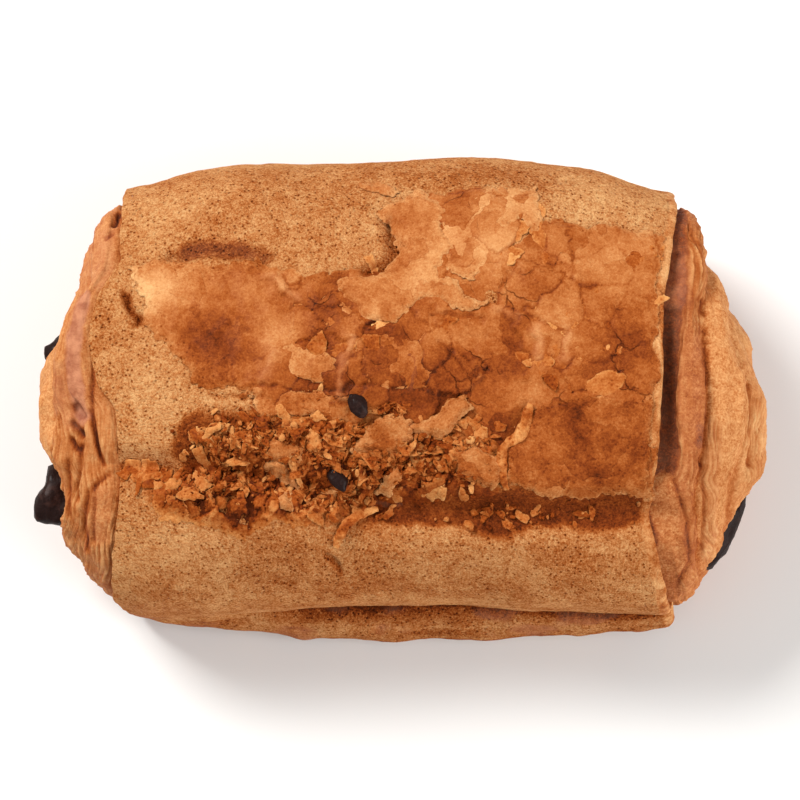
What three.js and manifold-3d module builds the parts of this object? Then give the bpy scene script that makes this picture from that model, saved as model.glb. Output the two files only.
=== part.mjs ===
// A pain au chocolat: one baked roll of laminated dough with two sticks of chocolate running through it.
// Millimetres. The roll lies along X with its shown end lobes at -X and +X, +Y is its back and +Z is up.
// The origin is on the flat base, under the middle of the roll.

import * as THREE from 'three';
import { mergeVertices } from 'three/addons/utils/BufferGeometryUtils.js';
import { ParametricGeometry } from 'three/addons/geometries/ParametricGeometry.js';
import Module from 'manifold-3d';

const wasm = await Module();
wasm.setup();

// Driving dimensions
const CENTRE_HEIGHT = 20; // the widest level of the roll's section above the tray
const CROWN = 26.2; // from that level up to the crown
const CROWN_DROOP = 2.2; // how much lower the crown is at the wrap's two edges
const BELOW = 30; // how far down the section would go if the tray didn't flatten it
const LEFT_EDGE = -44.6; // where the outer wrap ends at the left and at the right
const RIGHT_EDGE = 41.2;
const TIP_FORWARD = 6; // the end lobes' tips sit this far in front of the middle
const TIP_RAISE = 2;
const SKIN = 0.55; // thickness of the glazed skin that has torn away in places
const CORNER_STRAY = 0.5; // how far the corners of torn outlines stray at random
const TEAR_DEPTH = 0.33; // how far a torn side is pushed in or out, as a share of its length
const TEAR_SEED = 7;
const STICK_GAP = 0.35; // air between the crust's tunnel and the chocolate in it
const FLOOR_BOX = 200; // side of the block that trims the roll flat at the tray
const ROLL_PLACE = [0.7, 0.46]; // the roll's axis is set off by this, to put the origin under its middle

// Half widths of the section behind and in front of the roll's axis, by place along it
const BACK_WIDTH = [
  [-46, 31.2], [-41, 32.8], [-35, 34.6], [-21.5, 36.2], [0, 36.9], [12.7, 37.4], [19, 36.8],
  [31.8, 34.2], [41, 31.6],
];
const FRONT_WIDTH = [
  [-48, 33], [-42, 35.2], [-32, 35.9], [-20, 35.4], [-5, 34], [10, 34.3], [25, 35], [41.5, 35.6],
];

// How square the section is: 2 is an ellipse, and more is squarer
const SQUARE_BELOW = 2.4;
const SQUARE_BACK = 2.3;
const SQUARE_FRONT = 2.05;

// How far the wrap's edges stray from straight, by the angle round the section in degrees
const LEFT_STRAY = [
  [0, 0.6], [40, 0.9], [62, 1], [72, -2.4], [85, -3.5], [96, -1.8], [101, 0.7], [120, 1.4], [150, -0.2],
  [180, -0.9], [205, 0.6], [360, 0.6],
];
const RIGHT_STRAY = [
  [0, 0], [40, 0.6], [75, -0.7], [97, -1.2], [125, -2.2], [145, -2.8], [180, -0.6], [200, 0.8],
  [360, 0],
];

// End profiles from the wrap's lip to the tip: share of the section's size, and reach past the edge.
// Over the top the layers stand apart with a deep gap under the lip, and lower down they lie together.
const LEFT_TOP = [
  [1, 0], [0.99, 0.8], [0.955, 0.8], [0.922, 0.2], [0.912, 1.2], [0.928, 2.1], [0.905, 3.9],
  [0.865, 5.6], [0.82, 5.5], [0.8, 6.6], [0.76, 8.4], [0.69, 9.6], [0.63, 9.5], [0.6, 10.8],
  [0.5, 12.3], [0.27, 13], [0, 13],
];
const LEFT_LOW = [
  [1, 0], [0.985, 0.7], [0.96, 1], [0.935, 1.3], [0.92, 1.8], [0.9, 2.3], [0.87, 3], [0.84, 3.9],
  [0.8, 4.6], [0.77, 5.5], [0.72, 6.3], [0.65, 7.3], [0.59, 7.9], [0.54, 8.9], [0.43, 10.3],
  [0.24, 12.2], [0, 13],
];
const RIGHT_TOP = [
  [1, 0], [0.99, 0.9], [0.95, 0.7], [0.895, 0.6], [0.885, 2.2], [0.93, 3], [0.915, 5.2], [0.86, 6.6],
  [0.8, 6.3], [0.79, 7.4], [0.745, 10.4], [0.67, 12.4], [0.6, 12.5], [0.575, 13.8], [0.47, 15.4],
  [0.25, 15.9], [0, 16.1],
];
const RIGHT_LOW = [
  [1, 0], [0.985, 1], [0.96, 1.9], [0.935, 2.6], [0.925, 3.1], [0.915, 3.8], [0.89, 5], [0.85, 6.6],
  [0.8, 7.5], [0.78, 8.4], [0.72, 9.9], [0.64, 11.4], [0.59, 11.9], [0.54, 12.9], [0.42, 14.6],
  [0.22, 15.7], [0, 16.1],
];

// Towards the back and front the ends are rounder, and their layers reach less far by these shares
const LEFT_HOLD = { back: 0.55, front: -0.05 };
const RIGHT_HOLD = { back: 0.55, front: 0.34 };
const HOLD_AT = 0.64; // the share of the section where they are held back most
const HOLD_HALF = 0.24;

// Slow swellings of the crust: height, wavelength along X and Y over a full circle, and start
const SWELLS = [
  { height: 0.28, along: 9.5, across: 8.1, start: 2.27 },
  { height: 0.28, along: 9.5, across: -8.1, start: 2.67 },
  { height: 0.4, along: 5.3, across: 6.7, start: 2.1 },
  { height: 0.35, along: 13, across: -11.3, start: 1.57 },
];

const SIDE_SWELL = 0.3; // the share of them that is left at the sides

// The crease that runs along the roll between its crown and its front bulge
const CREASE_PATH = [[-46, -15.6], [-30, -16.8], [-22, -17.6], [-6, -22.2], [6, -22.9], [46, -23]];
const CREASE_DEPTH = 2.4;
const CREASE_HALF = 2.6;

// The dough's last turn shows as a foot at the lower front, under a seam that is open along the middle
const FOOT_BULGE = [
  [-46, 1.8], [-32, 3.6], [-20, 5.6], [-5, 8], [10, 7.6], [18, 6.4], [25, 5.4], [33, 4.8], [42, 3.6],
];
const FOOT_HEIGHT = 4.6;
const FOOT_HALF = 5;
const SEAM_SPAN = [-34, -14, 40, 46]; // begins, full, full, ends along X
const SEAM_DEPTH = 2.6;
const SEAM_HEIGHT = 12.2;
const SEAM_HALF = 1.5;

// Outlines of the glazed skin and of the flakes lying on it, seen from above
const SKIN_OUTLINE = [
  [-43.2, 15.6], [-38.6, 17.6], [-34.7, 16.3], [-28, 15.1], [-25.4, 16.1], [-21.2, 16.1], [-19.2, 13.9],
  [-15.3, 13.1], [-8.4, 14.4], [-2.3, 16], [-0.8, 20.6], [-1.6, 26], [3, 29], [14, 28.8], [20.3, 28.6],
  [20.9, 22.4], [31, 22.1], [36.4, 21.2], [44, 20.3], [44, -20.4], [30.6, -19.6], [22.9, -20.3],
  [15.3, -19.4], [13.6, -14.5], [8, -13.3], [0, -11.8], [-8.4, -10.3], [-12.2, -8.8], [-18.3, -8.8],
  [-22.9, -6.5], [-25.2, -5], [-32, -3.4], [-34.4, 0.5], [-39.1, 5.3], [-41.5, 11.8],
];
const FLAKES = [
  { lift: 1.3, outline: [[-1.6, 26], [3.1, 29.3], [6.2, 26.9], [7.4, 22.3], [6.2, 19.7], [8, 16.3],
    [6.1, 13], [0, 9.8], [-3.1, 6.9], [-6.9, 6.6], [-7.7, 9.8], [-10.7, 13.1], [-4.6, 15], [-0.8, 16]] },
  { lift: 1, outline: [[8.6, 26.9], [14, 28.8], [15.6, 27.9], [13.2, 24.1], [12.3, 16.3], [10, 12.2],
    [8.5, 16], [7.7, 20.6]] },
  { lift: 1.2, outline: [[15.6, 28.4], [20.3, 28.6], [20.9, 22.4], [21.6, 19.8], [18.5, 18],
    [14.7, 24.1]] },
  { lift: 1.5, outline: [[4.6, 13], [8.4, 13.9], [10.4, 10.6], [13.8, 9.8], [11.5, 7.4], [8.4, 6.9],
    [3.8, 9.8]] },
  { lift: 0.9, outline: [[-4.7, 31], [0, 32.1], [2.3, 29.9], [1.6, 26.9], [-2.3, 27.9]] },
  { lift: 1, outline: [[-19.9, 2.7], [-17.5, -2.7], [-12.2, -4], [-9.1, -3.5], [-10.7, 0.3],
    [-15.3, 2.7]] },
  { lift: 1.1, outline: [[-8.4, 3.5], [0, 4.2], [4.6, 1.9], [6.1, -3.5], [0, -5], [-6.1, -4.3]] },
  { lift: 1.3, outline: [[22.1, -6.5], [18.3, -8.1], [16, -11.8], [15.3, -17.7], [18.3, -19.4],
    [26, -20.3], [33.6, -19.6], [38.3, -20.1], [38.9, -13.1], [38.5, -5.6], [30.5, -4.5]] },
  { lift: 1.5, outline: [[4.6, -8.8], [6.1, -6.1], [9.1, -5.5], [10.7, -7.3], [8.4, -9.6], [6.1, -11.8],
    [2.3, -11.8], [-2.3, -10], [1.5, -9.6]] },
  { lift: 1.4, outline: [[6.9, -14], [10.7, -13.3], [14.5, -14.5], [15.3, -17.7], [13.7, -19.5],
    [9.9, -18.4], [7.6, -17]] },
  { lift: 2.6, outline: [[-10, -24.9], [-8.4, -22.3], [-5.3, -20.6], [-2.3, -20.3], [-3.8, -22.8],
    [-6.9, -24.6], [-8.4, -27]] },
  { lift: 1.2, outline: [[-4.6, -16.2], [-2.3, -17.7], [-3.1, -20.6], [-4.3, -19.2]] },
  { lift: 1.2, outline: [[-22.1, -12.5], [-19, -11.8], [-15.2, -13.3], [-15.5, -15.5], [-19.8, -15.9]] },
  { lift: 1.6, outline: [[-19.8, -14.7], [-16.8, -16.2], [-17.6, -19.9], [-20.2, -19.1]] },
];

// Crumbs of broken flake that lie in a band along the crease
const CRUMB_COUNT = 36;
const CRUMB_SEED = 41;
const CRUMB_BAND = { left: -34, right: 11, back: -9, front: -24 };
const CRUMB_SIZE = [0.7, 1.5]; // smallest and largest half length
const CHOCOLATE_CHIPS = [{ at: [-6.4, -6.9], turn: 0.5 }, { at: [-9.5, -17.7], turn: -0.4 }];
const CHIP_HALF = [1.5, 2.3, 0.9];

// Chocolate sticks: rows of place along X, centre Y and Z, half width and half height, and how far the
// end leans, so that the back of it reaches further along X than its front by this much for each millimetre
const FRONT_STICK = { lean: 0.26, rows: [
  [-58.6, -17.8, 20.4, 0, 0], [-58.4, -17.8, 20.4, 1.3, 1.1], [-57.3, -17.6, 20.5, 2.7, 2.3],
  [-55.6, -17.2, 20.6, 3.6, 2.8], [-53.2, -17, 20.6, 4.3, 2.7], [-48, -17, 20.4, 4.9, 2.6],
  [-20, -17.4, 20, 5.2, 2.7], [14, -18.4, 20, 5.2, 2.7], [40, -20.6, 20.2, 5.3, 2.7],
  [47, -22.2, 20.4, 6.2, 2.8], [50.4, -22.6, 20.4, 6.8, 2.8], [51.9, -22.7, 20.3, 5.8, 2.2],
  [52.7, -22.7, 20.2, 3, 1.3], [52.9, -22.7, 20.2, 0, 0],
] };
const BACK_STICK = { lean: 0, rows: [
  [-56.7, 6.6, 19.2, 0, 0], [-56.5, 6.6, 19.2, 1.2, 1], [-55.6, 6.9, 19.2, 2.4, 1.9],
  [-54.2, 7.6, 19, 3.9, 2.5], [-50, 8.2, 18.8, 4.9, 2.6], [-20, 8.4, 17.4, 5.2, 2.7],
  [14, 8.4, 15.6, 5.2, 2.7], [42, 8.2, 13.4, 5.2, 2.7], [52, 8, 12.8, 5.1, 2.6],
  [54.4, 8, 12.7, 4, 2.1], [55.3, 8, 12.7, 2.2, 1.3], [55.5, 8, 12.7, 0, 0],
] };
const STICK_SIDES = 10;
const STICK_SQUARENESS = 2.8;

// How finely the crust is divided
const WRAP_STATIONS = 27;
const ANGLE_BANDS = [ // from, to and steps round the section, in degrees
  [-46, -12, 4], [-12, 152, 31], [152, 182, 5], [182, 206, 8], [206, 224, 2], [224, 314, 2],
];

const RAD = Math.PI / 180;
const { clamp, lerp, smoothstep } = THREE.MathUtils;

// The value of a table of [place, value] rows at a place, in straight steps
function along(table, place) {
  const next = table.findIndex((row) => row[0] >= place);
  if (next === 0) return table[0][1];
  if (next < 0) return table.at(-1)[1];
  const [before, after] = [table[next - 1], table[next]];
  return lerp(before[1], after[1], (place - before[0]) / (after[0] - before[0]));
}

// A bell curve of height one
const bell = (distance, half) => Math.exp(-((distance / half) ** 2));

// A seeded random number between 0 and 1
function seeded(seed) {
  let state = seed;
  return () => {
    state = (state * 1664525 + 1013904223) % 4294967296;
    return state / 4294967296;
  };
}

// The crust's slow swellings added up, as the layers underneath have risen unevenly
function swell(x, y) {
  return SWELLS.reduce((sum, wave) =>
    sum + wave.height * Math.sin(x / wave.along + y / wave.across + wave.start), 0);
}

// The crease, the seam and the foot, as height over the smooth roll
function fold(x, y, z, theta) {
  const onTop = smoothstep(Math.sin(theta), 0.1, 0.4);
  const crease = -CREASE_DEPTH * onTop * bell(y - along(CREASE_PATH, x), CREASE_HALF);
  if (y >= 0) return crease;
  const [begin, full, stay, end] = SEAM_SPAN;
  const open = smoothstep(x, begin, full) * (1 - smoothstep(x, stay, end));
  const foot = along(FOOT_BULGE, x) * bell(z - FOOT_HEIGHT, FOOT_HALF);
  return crease + foot - SEAM_DEPTH * open * bell(z - SEAM_HEIGHT, SEAM_HALF);
}

// A point of the crust: x along the roll, theta round it from the back over the top, share of the full
// section, reach past the wrap's edge, and lift over the crust
function crustPoint(x, theta, share, reach, lift, target) {
  const [c, s] = [Math.cos(theta), Math.sin(theta)];
  const side = along(c > 0 ? BACK_WIDTH : FRONT_WIDTH, x);
  const tall = s > 0 ? CROWN - CROWN_DROOP * clamp(Math.abs(x) / 44, 0, 1) ** 4 : BELOW;
  const overhead = c > 0 ? SQUARE_BACK : SQUARE_FRONT;
  const power = s < 0 ? SQUARE_BELOW : overhead;
  const across = Math.sign(c) * Math.abs(c) ** (2 / power);
  const upward = Math.sign(s) * Math.abs(s) ** (2 / power);
  const y = -TIP_FORWARD * (1 - share) + share * side * across;
  const z = CENTRE_HEIGHT + TIP_RAISE * (1 - share) + share * tall * upward;
  const normal = new THREE.Vector2(
    (Math.sign(c) * Math.abs(c) ** (2 - 2 / power)) / side,
    (Math.sign(s) * Math.abs(s) ** (2 - 2 / power)) / tall,
  ).normalize();
  const swelling = lerp(SIDE_SWELL, 1, Math.max(s, 0)) * swell(x, y);
  const relief = smoothstep(share, 0.4, 1) * swelling + smoothstep(share, 0.85, 1) * fold(x, y, z, theta);
  const outward = relief + lift * Math.min(1, 4 * share);
  return target.set(x + reach, y + normal.x * outward, z + normal.y * outward);
}

// One end's reach at a step of its profile: the open profile over the top, the closed one lower down,
// and both held back towards the sides, where the end is rounder
function endStep(top, low, step, theta, hold) {
  const open = clamp(1.6 * Math.sin(theta), 0, 1);
  const share = lerp(low[step][0], top[step][0], open);
  const reach = lerp(low[step][1], top[step][1], open);
  const c = Math.cos(theta);
  const sideways = c > 0 ? hold.back * c : -hold.front * c;
  const held = sideways * bell(share - HOLD_AT, HOLD_HALF) * Math.min(1, 5 * share);
  return { share, reach: reach * (1 - held) };
}

const END_STEPS = LEFT_TOP.length - 1;
const STATIONS = WRAP_STATIONS + 2 * END_STEPS;

const ANGLES = ANGLE_BANDS.flatMap(([from, to, steps]) =>
  Array.from({ length: steps }, (_, i) => lerp(from, to, i / steps) * RAD));

// The crust at a station along the roll, from the left tip through the wrap to the right tip
function crustAt(station, theta, lift, target) {
  const degrees = ((theta / RAD) + 360) % 360;
  const left = LEFT_EDGE + along(LEFT_STRAY, degrees);
  const right = RIGHT_EDGE + along(RIGHT_STRAY, degrees);
  if (station < END_STEPS) {
    const { share, reach } = endStep(LEFT_TOP, LEFT_LOW, END_STEPS - station, theta, LEFT_HOLD);
    return crustPoint(lerp(LEFT_EDGE, left, share ** 3), theta, share, -reach, lift, target);
  }
  if (station > END_STEPS + WRAP_STATIONS) {
    const step = station - END_STEPS - WRAP_STATIONS;
    const { share, reach } = endStep(RIGHT_TOP, RIGHT_LOW, step, theta, RIGHT_HOLD);
    return crustPoint(lerp(RIGHT_EDGE, right, share ** 3), theta, share, reach, lift, target);
  }
  return crustPoint(lerp(left, right, (station - END_STEPS) / WRAP_STATIONS), theta, 1, 0, lift, target);
}

// The whole crust as a closed surface, lifted evenly all over
function crustGeometry(lift) {
  return new ParametricGeometry((u, v, target) => {
    const turn = Math.round(u * ANGLES.length) % ANGLES.length;
    crustAt(Math.round(v * STATIONS), ANGLES[turn], lift, target);
  }, ANGLES.length, STATIONS);
}

// A closed geometry as a solid that can be joined and cut
function toSolid(geometry) {
  const bare = geometry.clone();
  bare.deleteAttribute('normal');
  bare.deleteAttribute('uv');
  const merged = mergeVertices(bare, 1e-5);
  const corners = merged.index.array;
  const kept = [];
  for (let i = 0; i < corners.length; i += 3) {
    const [a, b, c] = [corners[i], corners[i + 1], corners[i + 2]];
    if (a !== b && b !== c && c !== a) kept.push(a, b, c);
  }
  const vertProperties = merged.attributes.position.array;
  const mesh = new wasm.Mesh({ numProp: 3, vertProperties, triVerts: new Uint32Array(kept) });
  return new wasm.Manifold(mesh);
}

// A solid back as a geometry
function toGeometry(solid) {
  const mesh = solid.getMesh();
  const geometry = new THREE.BufferGeometry();
  geometry.setAttribute('position', new THREE.BufferAttribute(mesh.vertProperties, 3));
  geometry.setIndex(new THREE.BufferAttribute(mesh.triVerts, 1));
  return geometry.toNonIndexed();
}

// An outline torn at random: its corners stray a little, and each side gets one more corner, pushed in or out
function torn(outline, random) {
  const stray = () => (random() - 0.5) * CORNER_STRAY;
  const corners = outline.map(([x, y]) => [x + stray(), y + stray()]);
  return corners.flatMap((corner, i) => {
    const next = corners[(i + 1) % corners.length];
    const [dx, dy] = [next[0] - corner[0], next[1] - corner[1]];
    const push = (random() - 0.5) * TEAR_DEPTH;
    return [corner, [corner[0] + dx / 2 - dy * push, corner[1] + dy / 2 + dx * push]];
  });
}

// A sheet that follows the crust, cut to an outline seen from above
function sheet(outline, lift) {
  const shape = new THREE.Shape(outline.map(([x, y]) => new THREE.Vector2(x, y)));
  const cutter = new THREE.ExtrudeGeometry(shape, { depth: 2 * CROWN, bevelEnabled: false });
  cutter.translate(0, 0, CENTRE_HEIGHT);
  return toSolid(crustGeometry(lift)).intersect(toSolid(cutter));
}

// The height of the crust's top at a place seen from above
function topHeight(x, y, lift) {
  const point = new THREE.Vector3();
  let [low, high] = [8 * RAD, 172 * RAD];
  for (let i = 0; i < 24; i++) {
    const middle = (low + high) / 2;
    crustPoint(x, middle, 1, 0, lift, point);
    if (point.y > y) low = middle;
    else high = middle;
  }
  return point.z;
}

// A small lump sunk a little into the crust
function lump(x, y, half, turn, lift, detail) {
  const geometry = new THREE.IcosahedronGeometry(1, detail);
  geometry.scale(...half);
  geometry.rotateZ(turn);
  geometry.translate(x, y, topHeight(x, y, lift) + half[2] * 0.25);
  return toSolid(geometry);
}

function crumbs() {
  const random = seeded(CRUMB_SEED);
  const [smallest, largest] = CRUMB_SIZE;
  return Array.from({ length: CRUMB_COUNT }, () => {
    const x = lerp(CRUMB_BAND.left, CRUMB_BAND.right, random());
    const y = lerp(CRUMB_BAND.back, CRUMB_BAND.front, random());
    const size = lerp(smallest, largest, random() ** 2);
    return lump(x, y, [size, size * 0.7, size * 0.55], random() * Math.PI, 0, 0);
  });
}

function chocolateChips() {
  return CHOCOLATE_CHIPS.map(({ at, turn }) => lump(at[0], at[1], CHIP_HALF, turn, SKIN, 1));
}

// A chocolate stick with softened, swollen ends, grown evenly by a gap where it is the tunnel's cutter
function stickGeometry({ lean, rows }, gap) {
  const round = (part) => Math.sign(part) * Math.abs(part) ** (2 / STICK_SQUARENESS);
  const [first, last] = [rows[0][0], rows.at(-1)[0]];
  return new ParametricGeometry((u, v, target) => {
    const [x, y, z, halfWidth, halfHeight] = rows[Math.round(v * (rows.length - 1))];
    const phi = u * 2 * Math.PI;
    const grown = halfWidth > 0 ? gap : 0;
    const across = (halfWidth + grown) * round(Math.cos(phi));
    const nearEnd = smoothstep(Math.abs(x), 44, 54);
    const stretch = x < 0 ? (first - gap) / first : (last + gap) / last;
    const upward = (halfHeight + grown) * round(Math.sin(phi));
    return target.set(x * stretch + lean * nearEnd * across, y + across, z + upward);
  }, STICK_SIDES, rows.length - 1);
}

// The crust: the rolled dough, its glazed skin, flakes, crumbs and chips joined into one body, then the
// tunnels of the sticks and the tray's flat cut away
function pastrySolid() {
  const random = seeded(TEAR_SEED);
  const skin = sheet(torn(SKIN_OUTLINE, random), SKIN);
  const flakes = FLAKES.map(({ outline, lift }) => sheet(torn(outline, random), lift));
  let body = toSolid(crustGeometry(0));
  for (const piece of [skin, ...flakes, ...crumbs(), ...chocolateChips()]) body = body.add(piece);
  for (const stick of [FRONT_STICK, BACK_STICK]) body = body.subtract(toSolid(stickGeometry(stick, STICK_GAP)));
  const tray = new THREE.BoxGeometry(FLOOR_BOX, FLOOR_BOX, FLOOR_BOX).translate(0, 0, -FLOOR_BOX / 2);
  return body.subtract(toSolid(tray));
}

const crust = new THREE.MeshStandardMaterial({ color: 0xc4803f, roughness: 0.6, metalness: 0 });
const chocolate = new THREE.MeshStandardMaterial({ color: 0x33211b, roughness: 0.35, metalness: 0 });

function named(name, geometry, material) {
  const mesh = new THREE.Mesh(geometry, material);
  mesh.name = name;
  return mesh;
}

const group = new THREE.Group();
group.add(
  named('pastry', toGeometry(pastrySolid()), crust),
  named('chocolate_stick_front', stickGeometry(FRONT_STICK, 0), chocolate),
  named('chocolate_stick_back', stickGeometry(BACK_STICK, 0), chocolate),
);

group.position.set(...ROLL_PLACE, 0);

export default group;
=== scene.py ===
# %% [markdown]
# # A pain au chocolat, seen from above
#
# A sheet of laminated dough is rolled round two sticks of chocolate, brushed with egg and baked.
# The egg-washed skin turns thin and glossy, tears as the crumb rises under it and sheds flakes. Where it
# has gone, dull porous dough shows, and at both ends the rolled layers slide out past each other.
# The solids of the frame settle its size and main form. This lesson makes what they can't hold: the torn
# skin, the flakes and crumbs, the fine layers at the ends, and the colours of the bake.

import math

import bpy
import numpy as np
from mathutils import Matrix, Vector


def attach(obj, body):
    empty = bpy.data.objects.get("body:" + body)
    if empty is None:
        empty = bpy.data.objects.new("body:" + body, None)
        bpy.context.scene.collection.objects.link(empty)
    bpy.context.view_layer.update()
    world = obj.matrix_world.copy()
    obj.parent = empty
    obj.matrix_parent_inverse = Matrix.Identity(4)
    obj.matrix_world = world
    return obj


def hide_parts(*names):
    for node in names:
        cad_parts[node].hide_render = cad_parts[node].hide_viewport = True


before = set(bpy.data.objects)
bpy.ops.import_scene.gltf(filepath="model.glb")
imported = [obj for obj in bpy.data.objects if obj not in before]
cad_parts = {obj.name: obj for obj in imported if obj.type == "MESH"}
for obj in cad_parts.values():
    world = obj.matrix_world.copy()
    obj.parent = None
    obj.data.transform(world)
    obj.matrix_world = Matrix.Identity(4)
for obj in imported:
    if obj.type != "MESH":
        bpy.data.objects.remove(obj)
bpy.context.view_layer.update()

# %% [markdown]
# ## Sizes
#
# All lengths are millimetres in the roll's own place: X runs along it, +Y is its back and +Z is up.
# They are the same named sizes that the solids were made from, so every piece lands on its solid.

# %% Sizes of the roll
MM = 0.001
ROLL_PLACE = np.array([0.7, 0.46, 0.0])
CENTRE_HEIGHT = 20
CROWN = 26.2
CROWN_DROOP = 2.2
HALF_LENGTH = 44
BELOW = 30
LEFT_EDGE = -44.6
RIGHT_EDGE = 41.2
TIP_FORWARD = 6
TIP_RAISE = 2
SQUARE_BELOW = 2.4
SQUARE_BACK = 2.3
SQUARE_FRONT = 2.05
SIDE_SWELL = 0.3

BACK_WIDTH = [
    (-46, 31.2), (-41, 32.8), (-35, 34.6), (-21.5, 36.2), (0, 36.9), (12.7, 37.4), (19, 36.8),
    (31.8, 34.2), (41, 31.6),
]
FRONT_WIDTH = [
    (-48, 33), (-42, 35.2), (-32, 35.9), (-20, 35.4), (-5, 34), (10, 34.3), (25, 35), (41.5, 35.6),
]

# swells of the risen dough: height, wave along the roll, wave across it, where the wave starts
SWELLS = [(0.28, 9.5, 8.1, 2.27), (0.28, 9.5, -8.1, 2.67), (0.4, 5.3, 6.7, 2.1), (0.35, 13, -11.3, 1.57)]

# the long crease where the front roll meets the top, the foot of the lower layer and the seam above it
CREASE_PATH = [(-46, -15.6), (-30, -16.8), (-22, -17.6), (-6, -22.2), (6, -22.9), (46, -23)]
CREASE_DEPTH = 2.4
CREASE_HALF = 2.6
FOOT_BULGE = [
    (-46, 1.8), (-32, 3.6), (-20, 5.6), (-5, 8), (10, 7.6), (18, 6.4), (25, 5.4), (33, 4.8), (42, 3.6),
]
FOOT_HEIGHT = 4.6
FOOT_HALF = 5
SEAM_SPAN = (-34, -14, 40, 46)
SEAM_DEPTH = 2.6
SEAM_HEIGHT = 12.2
SEAM_HALF = 1.5

# %% [markdown]
# ## Helpers for tables, soft steps and random relief
#
# Tables of a few named values are read along straight lines, and rounded where a corner would show.
# The relief is value noise: a random number on each corner of a lattice, blended softly in between.

# %% Tables and soft steps
def table(rows, at):
    """Reads rows of (place, value) along straight lines."""
    rows = np.asarray(rows, float)
    return np.interp(at, rows[:, 0], rows[:, 1])


def soft_table(rows, at, spread):
    """The table read at nine places around each place and averaged with a bell's weights."""
    steps = np.linspace(-2, 2, 9)
    weights = np.exp(-steps ** 2)
    read = [weight * table(rows, at + step * spread) for step, weight in zip(steps, weights)]
    return sum(read) / weights.sum()


def smoothstep(at, start, end):
    """0 before start, 1 after end, and 3t^2 - 2t^3 between them."""
    t = np.clip((at - start) / (end - start), 0, 1)
    return t * t * (3 - 2 * t)


def blend(first, second, share):
    """The straight mix of two values."""
    return first + (second - first) * share


def bell(distance, half):
    """1 at no distance, falling as exp(-(d/half)^2)."""
    return np.exp(-(distance / half) ** 2)


def power_of(value, power):
    """A signed power, which keeps the side that the value is on."""
    return np.sign(value) * np.abs(value) ** power


# %% Random relief
def corner_number(i, j, k, seed):
    """A random number from -1 to 1 for each whole-number corner, by mixing its three indices."""
    mixed = (i * 374761393 + j * 668265263 + k * 1274126177 + seed * 974634777) & 0xFFFFFFFF
    mixed = ((mixed ^ (mixed >> 13)) * 1103515245) & 0xFFFFFFFF
    mixed = ((mixed ^ (mixed >> 16)) * 668265263) & 0xFFFFFFFF
    return ((mixed ^ (mixed >> 15)) & 0xFFFFFF) / 0x7FFFFF - 1


def grain(x, y, z, size, seed, octaves=1):
    """Soft random relief, about -1 to 1. Each octave halves the size and the strength."""
    total = 0
    strength = 1.0
    for octave in range(octaves):
        place = np.broadcast_arrays(x, y, z)
        place = [axis * 2 ** octave / size + 17.3 * (octave + 1) for axis in place]
        cell = [np.floor(axis).astype(np.int64) for axis in place]
        soft = [smoothstep(axis - whole, 0, 1) for axis, whole in zip(place, cell)]
        value = 0
        for corner in np.ndindex(2, 2, 2):
            weight = 1
            for axis in range(3):
                weight = weight * (soft[axis] if corner[axis] else 1 - soft[axis])
            number = corner_number(*(cell[axis] + corner[axis] for axis in range(3)), seed + octave)
            value = value + weight * number
        total = total + strength * value
        strength = strength / 2
    return total


def ridges(x, y, z, size, seed, octaves=1):
    """Thin raised lines between soft hollows: 1 - 2|grain|, from -1 to 1."""
    return 1 - 2 * np.abs(grain(x, y, z, size, seed, octaves))


def plates(x, y, size, seed):
    """Splits the plan into the cells nearest to one random place per lattice square.

    Gives each cell's random number, its tilt's height at the place (the random slope times the way to the
    cell's middle, about -1 to 1), a second random number, and the distance to the cell's border.
    """
    x, y = x / size, y / size
    cell_x, cell_y = np.floor(x).astype(np.int64), np.floor(y).astype(np.int64)
    first = np.full(x.shape, 9.0)
    second = np.full(x.shape, 9.0)
    number, slope, other = np.zeros(x.shape), np.zeros(x.shape), np.zeros(x.shape)
    for step_x, step_y in np.ndindex(3, 3):
        i, j = cell_x + step_x - 1, cell_y + step_y - 1
        random = [corner_number(i, j, k, seed) for k in range(6)]
        away_x, away_y = x - i - 0.5 - 0.45 * random[0], y - j - 0.5 - 0.45 * random[1]
        far = np.hypot(away_x, away_y)
        nearer = far < first
        second = np.where(nearer, first, np.minimum(second, far))
        first = np.where(nearer, far, first)
        number = np.where(nearer, random[2], number)
        slope = np.where(nearer, 2 * (random[3] * away_x + random[4] * away_y), slope)
        other = np.where(nearer, random[5], other)
    return number, slope, other, (second - first) / 2 * size


def path_distance(path, x, y):
    """The distance in plan from each place to a path of straight stretches."""
    nearest = np.full(np.broadcast(x, y).shape, np.inf)
    for (ax, ay), (bx, by) in zip(path[:-1], path[1:]):
        length = (bx - ax) ** 2 + (by - ay) ** 2
        t = np.clip(((x - ax) * (bx - ax) + (y - ay) * (by - ay)) / length, 0, 1)
        nearest = np.minimum(nearest, np.hypot(x - ax - t * (bx - ax), y - ay - t * (by - ay)))
    return nearest


# %% [markdown]
# ## The crust's surface
#
# The roll is a rounded-square section carried along X. A place on it is given by x and by the angle round
# the section, 0 at the back, 90 degrees on top and 180 at the front. `share` shrinks the section for the
# layers inside it and for the ends, and `lift` moves a place outwards along the section's own normal.

# %% A place on the crust
def swell(x, y):
    """The sum of four slow waves that run slantwise over the roll."""
    return sum(height * np.sin(x / along + y / across + start) for height, along, across, start in SWELLS)


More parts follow.
